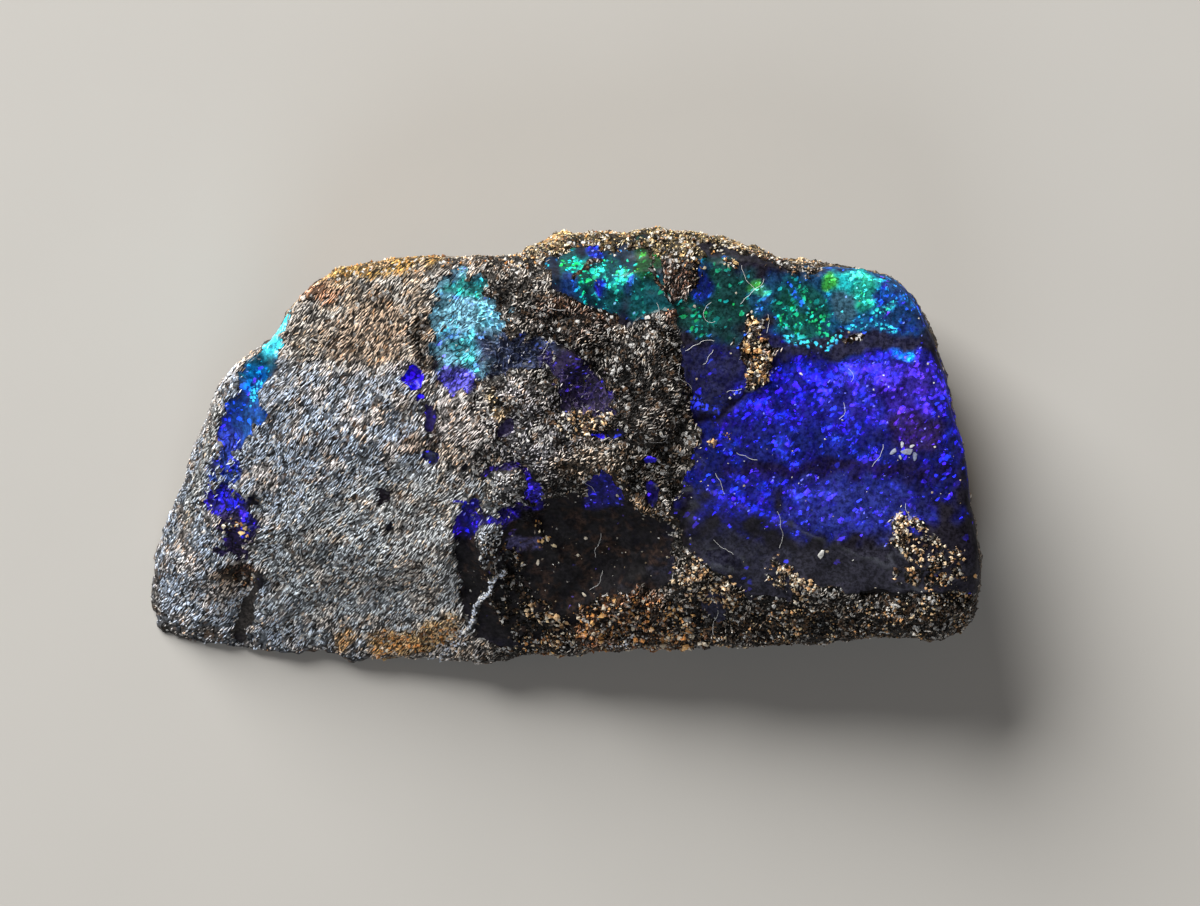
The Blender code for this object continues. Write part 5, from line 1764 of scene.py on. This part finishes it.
def grain_material(name, speckle_and_shade, contrast, ridges, roughness, streaks=0.0):
    """Grains and flakes: each has its own tint, broken a little."""
    material, tree, shader, place = new_material(name)
    tint = attribute(tree, "tint").outputs["Color"]
    broken = fill(tree, speckle_and_shade, {"Place": place, "Colour": tint, "Contrast": contrast, "Ridges": ridges,
                                  "Streaks": streaks})
    tree.links.new(broken["Colour"], shader.inputs["Base Color"])
    shader.inputs["Roughness"].default_value = roughness
    bump(tree, shader, broken["Height"], *GRAIN_BUMP)
    return material


def lint_material():
    material, tree, shader, place = new_material("lint")
    streak = ramp(tree, noise_at(tree, place, 0.3), 0.3, 0.7)
    tree.links.new(blend(tree, streak, LINT_DIM, LINT_PALE), shader.inputs["Base Color"])
    shader.inputs["Roughness"].default_value = LINT_ROUGHNESS
    return material


def floor_material():
    material, tree, shader, place = new_material("pale floor")
    drift = noise_at(tree, place, FLOOR_DRIFT)
    tree.links.new(blend(tree, drift, FLOOR_DARK, FLOOR_LIGHT), shader.inputs["Base Color"])
    shader.inputs["Roughness"].default_value = FLOOR_ROUGHNESS
    return material


# ================================================================ studio
def hang_lamp(name, direction, distance, size, power, colour):
    """A round soft lamp that looks at the stone."""
    toward = Vector(direction).normalized()
    lamp = bpy.data.lights.new(name, "AREA")
    lamp.shape = "DISK"
    lamp.size = size
    lamp.energy = power
    lamp.color = colour
    hung = bpy.data.objects.new(name, lamp)
    hung.location = toward * distance
    hung.rotation_euler = toward.to_track_quat("Z", "Y").to_euler()
    bpy.context.scene.collection.objects.link(hung)


def build_studio():
    """A plain pale floor, a soft light from the upper left, a fainter one in front, and the eye above."""
    deselect_all()
    bpy.ops.mesh.primitive_plane_add(size=FLOOR_SIZE, location=(0.0, 0.0, -FLOOR_DROP * MM))
    floor = bpy.context.object
    floor.name = "floor"
    floor.data.materials.append(floor_material())
    hang_lamp("window", LIGHT_FROM, LIGHT_DISTANCE, LIGHT_SIZE, LIGHT_POWER, LIGHT_COLOUR)
    hang_lamp("white board", FILL_FROM, FILL_DISTANCE, FILL_SIZE, FILL_POWER, FILL_COLOUR)
    world = bpy.data.worlds.new("room")
    world.use_nodes = True
    room = world.node_tree.nodes["Background"]
    room.inputs["Color"].default_value = ROOM_COLOUR
    room.inputs["Strength"].default_value = ROOM_STRENGTH
    bpy.context.scene.world = world
    view = bpy.data.cameras.new("eye")
    view.sensor_width = SENSOR
    view.lens = SENSOR * (EYE[2] - PLAN_HEIGHT) / PLAN_WIDTH
    view.clip_start = 0.01
    eye = bpy.data.objects.new("eye", view)
    eye.location = Vector(EYE) * MM
    bpy.context.scene.collection.objects.link(eye)
    bpy.context.scene.camera = eye
    bpy.context.scene.view_settings.view_transform = "Standard"


# ================================================================ the whole piece
def dress_stone():
    """Make the skin and all that lies on it."""
    speckle_and_shade, play = speckle_and_shade_group(), play_group()
    skin = make_skin()
    facing = normals(skin.data)
    zones = Zones(positions(skin.data), facing)
    carve(skin, zones, facing)
    tone = paint(skin, zones)
    skin.data.shade_smooth()
    skin.data.materials.clear()
    skin.data.materials.append(stone_material(speckle_and_shade, play))
    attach(skin, "root")
    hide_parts("boulder_opal")
    ground = Ground(skin, zones, tone)
    grit = grain_material("grit", speckle_and_shade, *GRIT_LOOK)
    slivers = grain_material("slivers", speckle_and_shade, *SLIVER_LOOK, streaks=1.0)
    strew_ridges(ground, grain_material("ridges", speckle_and_shade, *RIDGE_LOOK))
    strew_ironstone(ground, "lobe_grains", LOBE_GRAINS, LOBE_GRAIN_SEED, True, slivers)
    strew_ironstone(ground, "knob_grains", KNOB_GRAINS, KNOB_GRAIN_SEED, False, grit)
    strew_sand(ground, grain_material("sand", speckle_and_shade, *SAND_LOOK))
    strew_chips(ground, grain_material("flakes", speckle_and_shade, *CHIP_LOOK))
    lay_lint(skin, lint_material())


dress_stone()
build_studio()
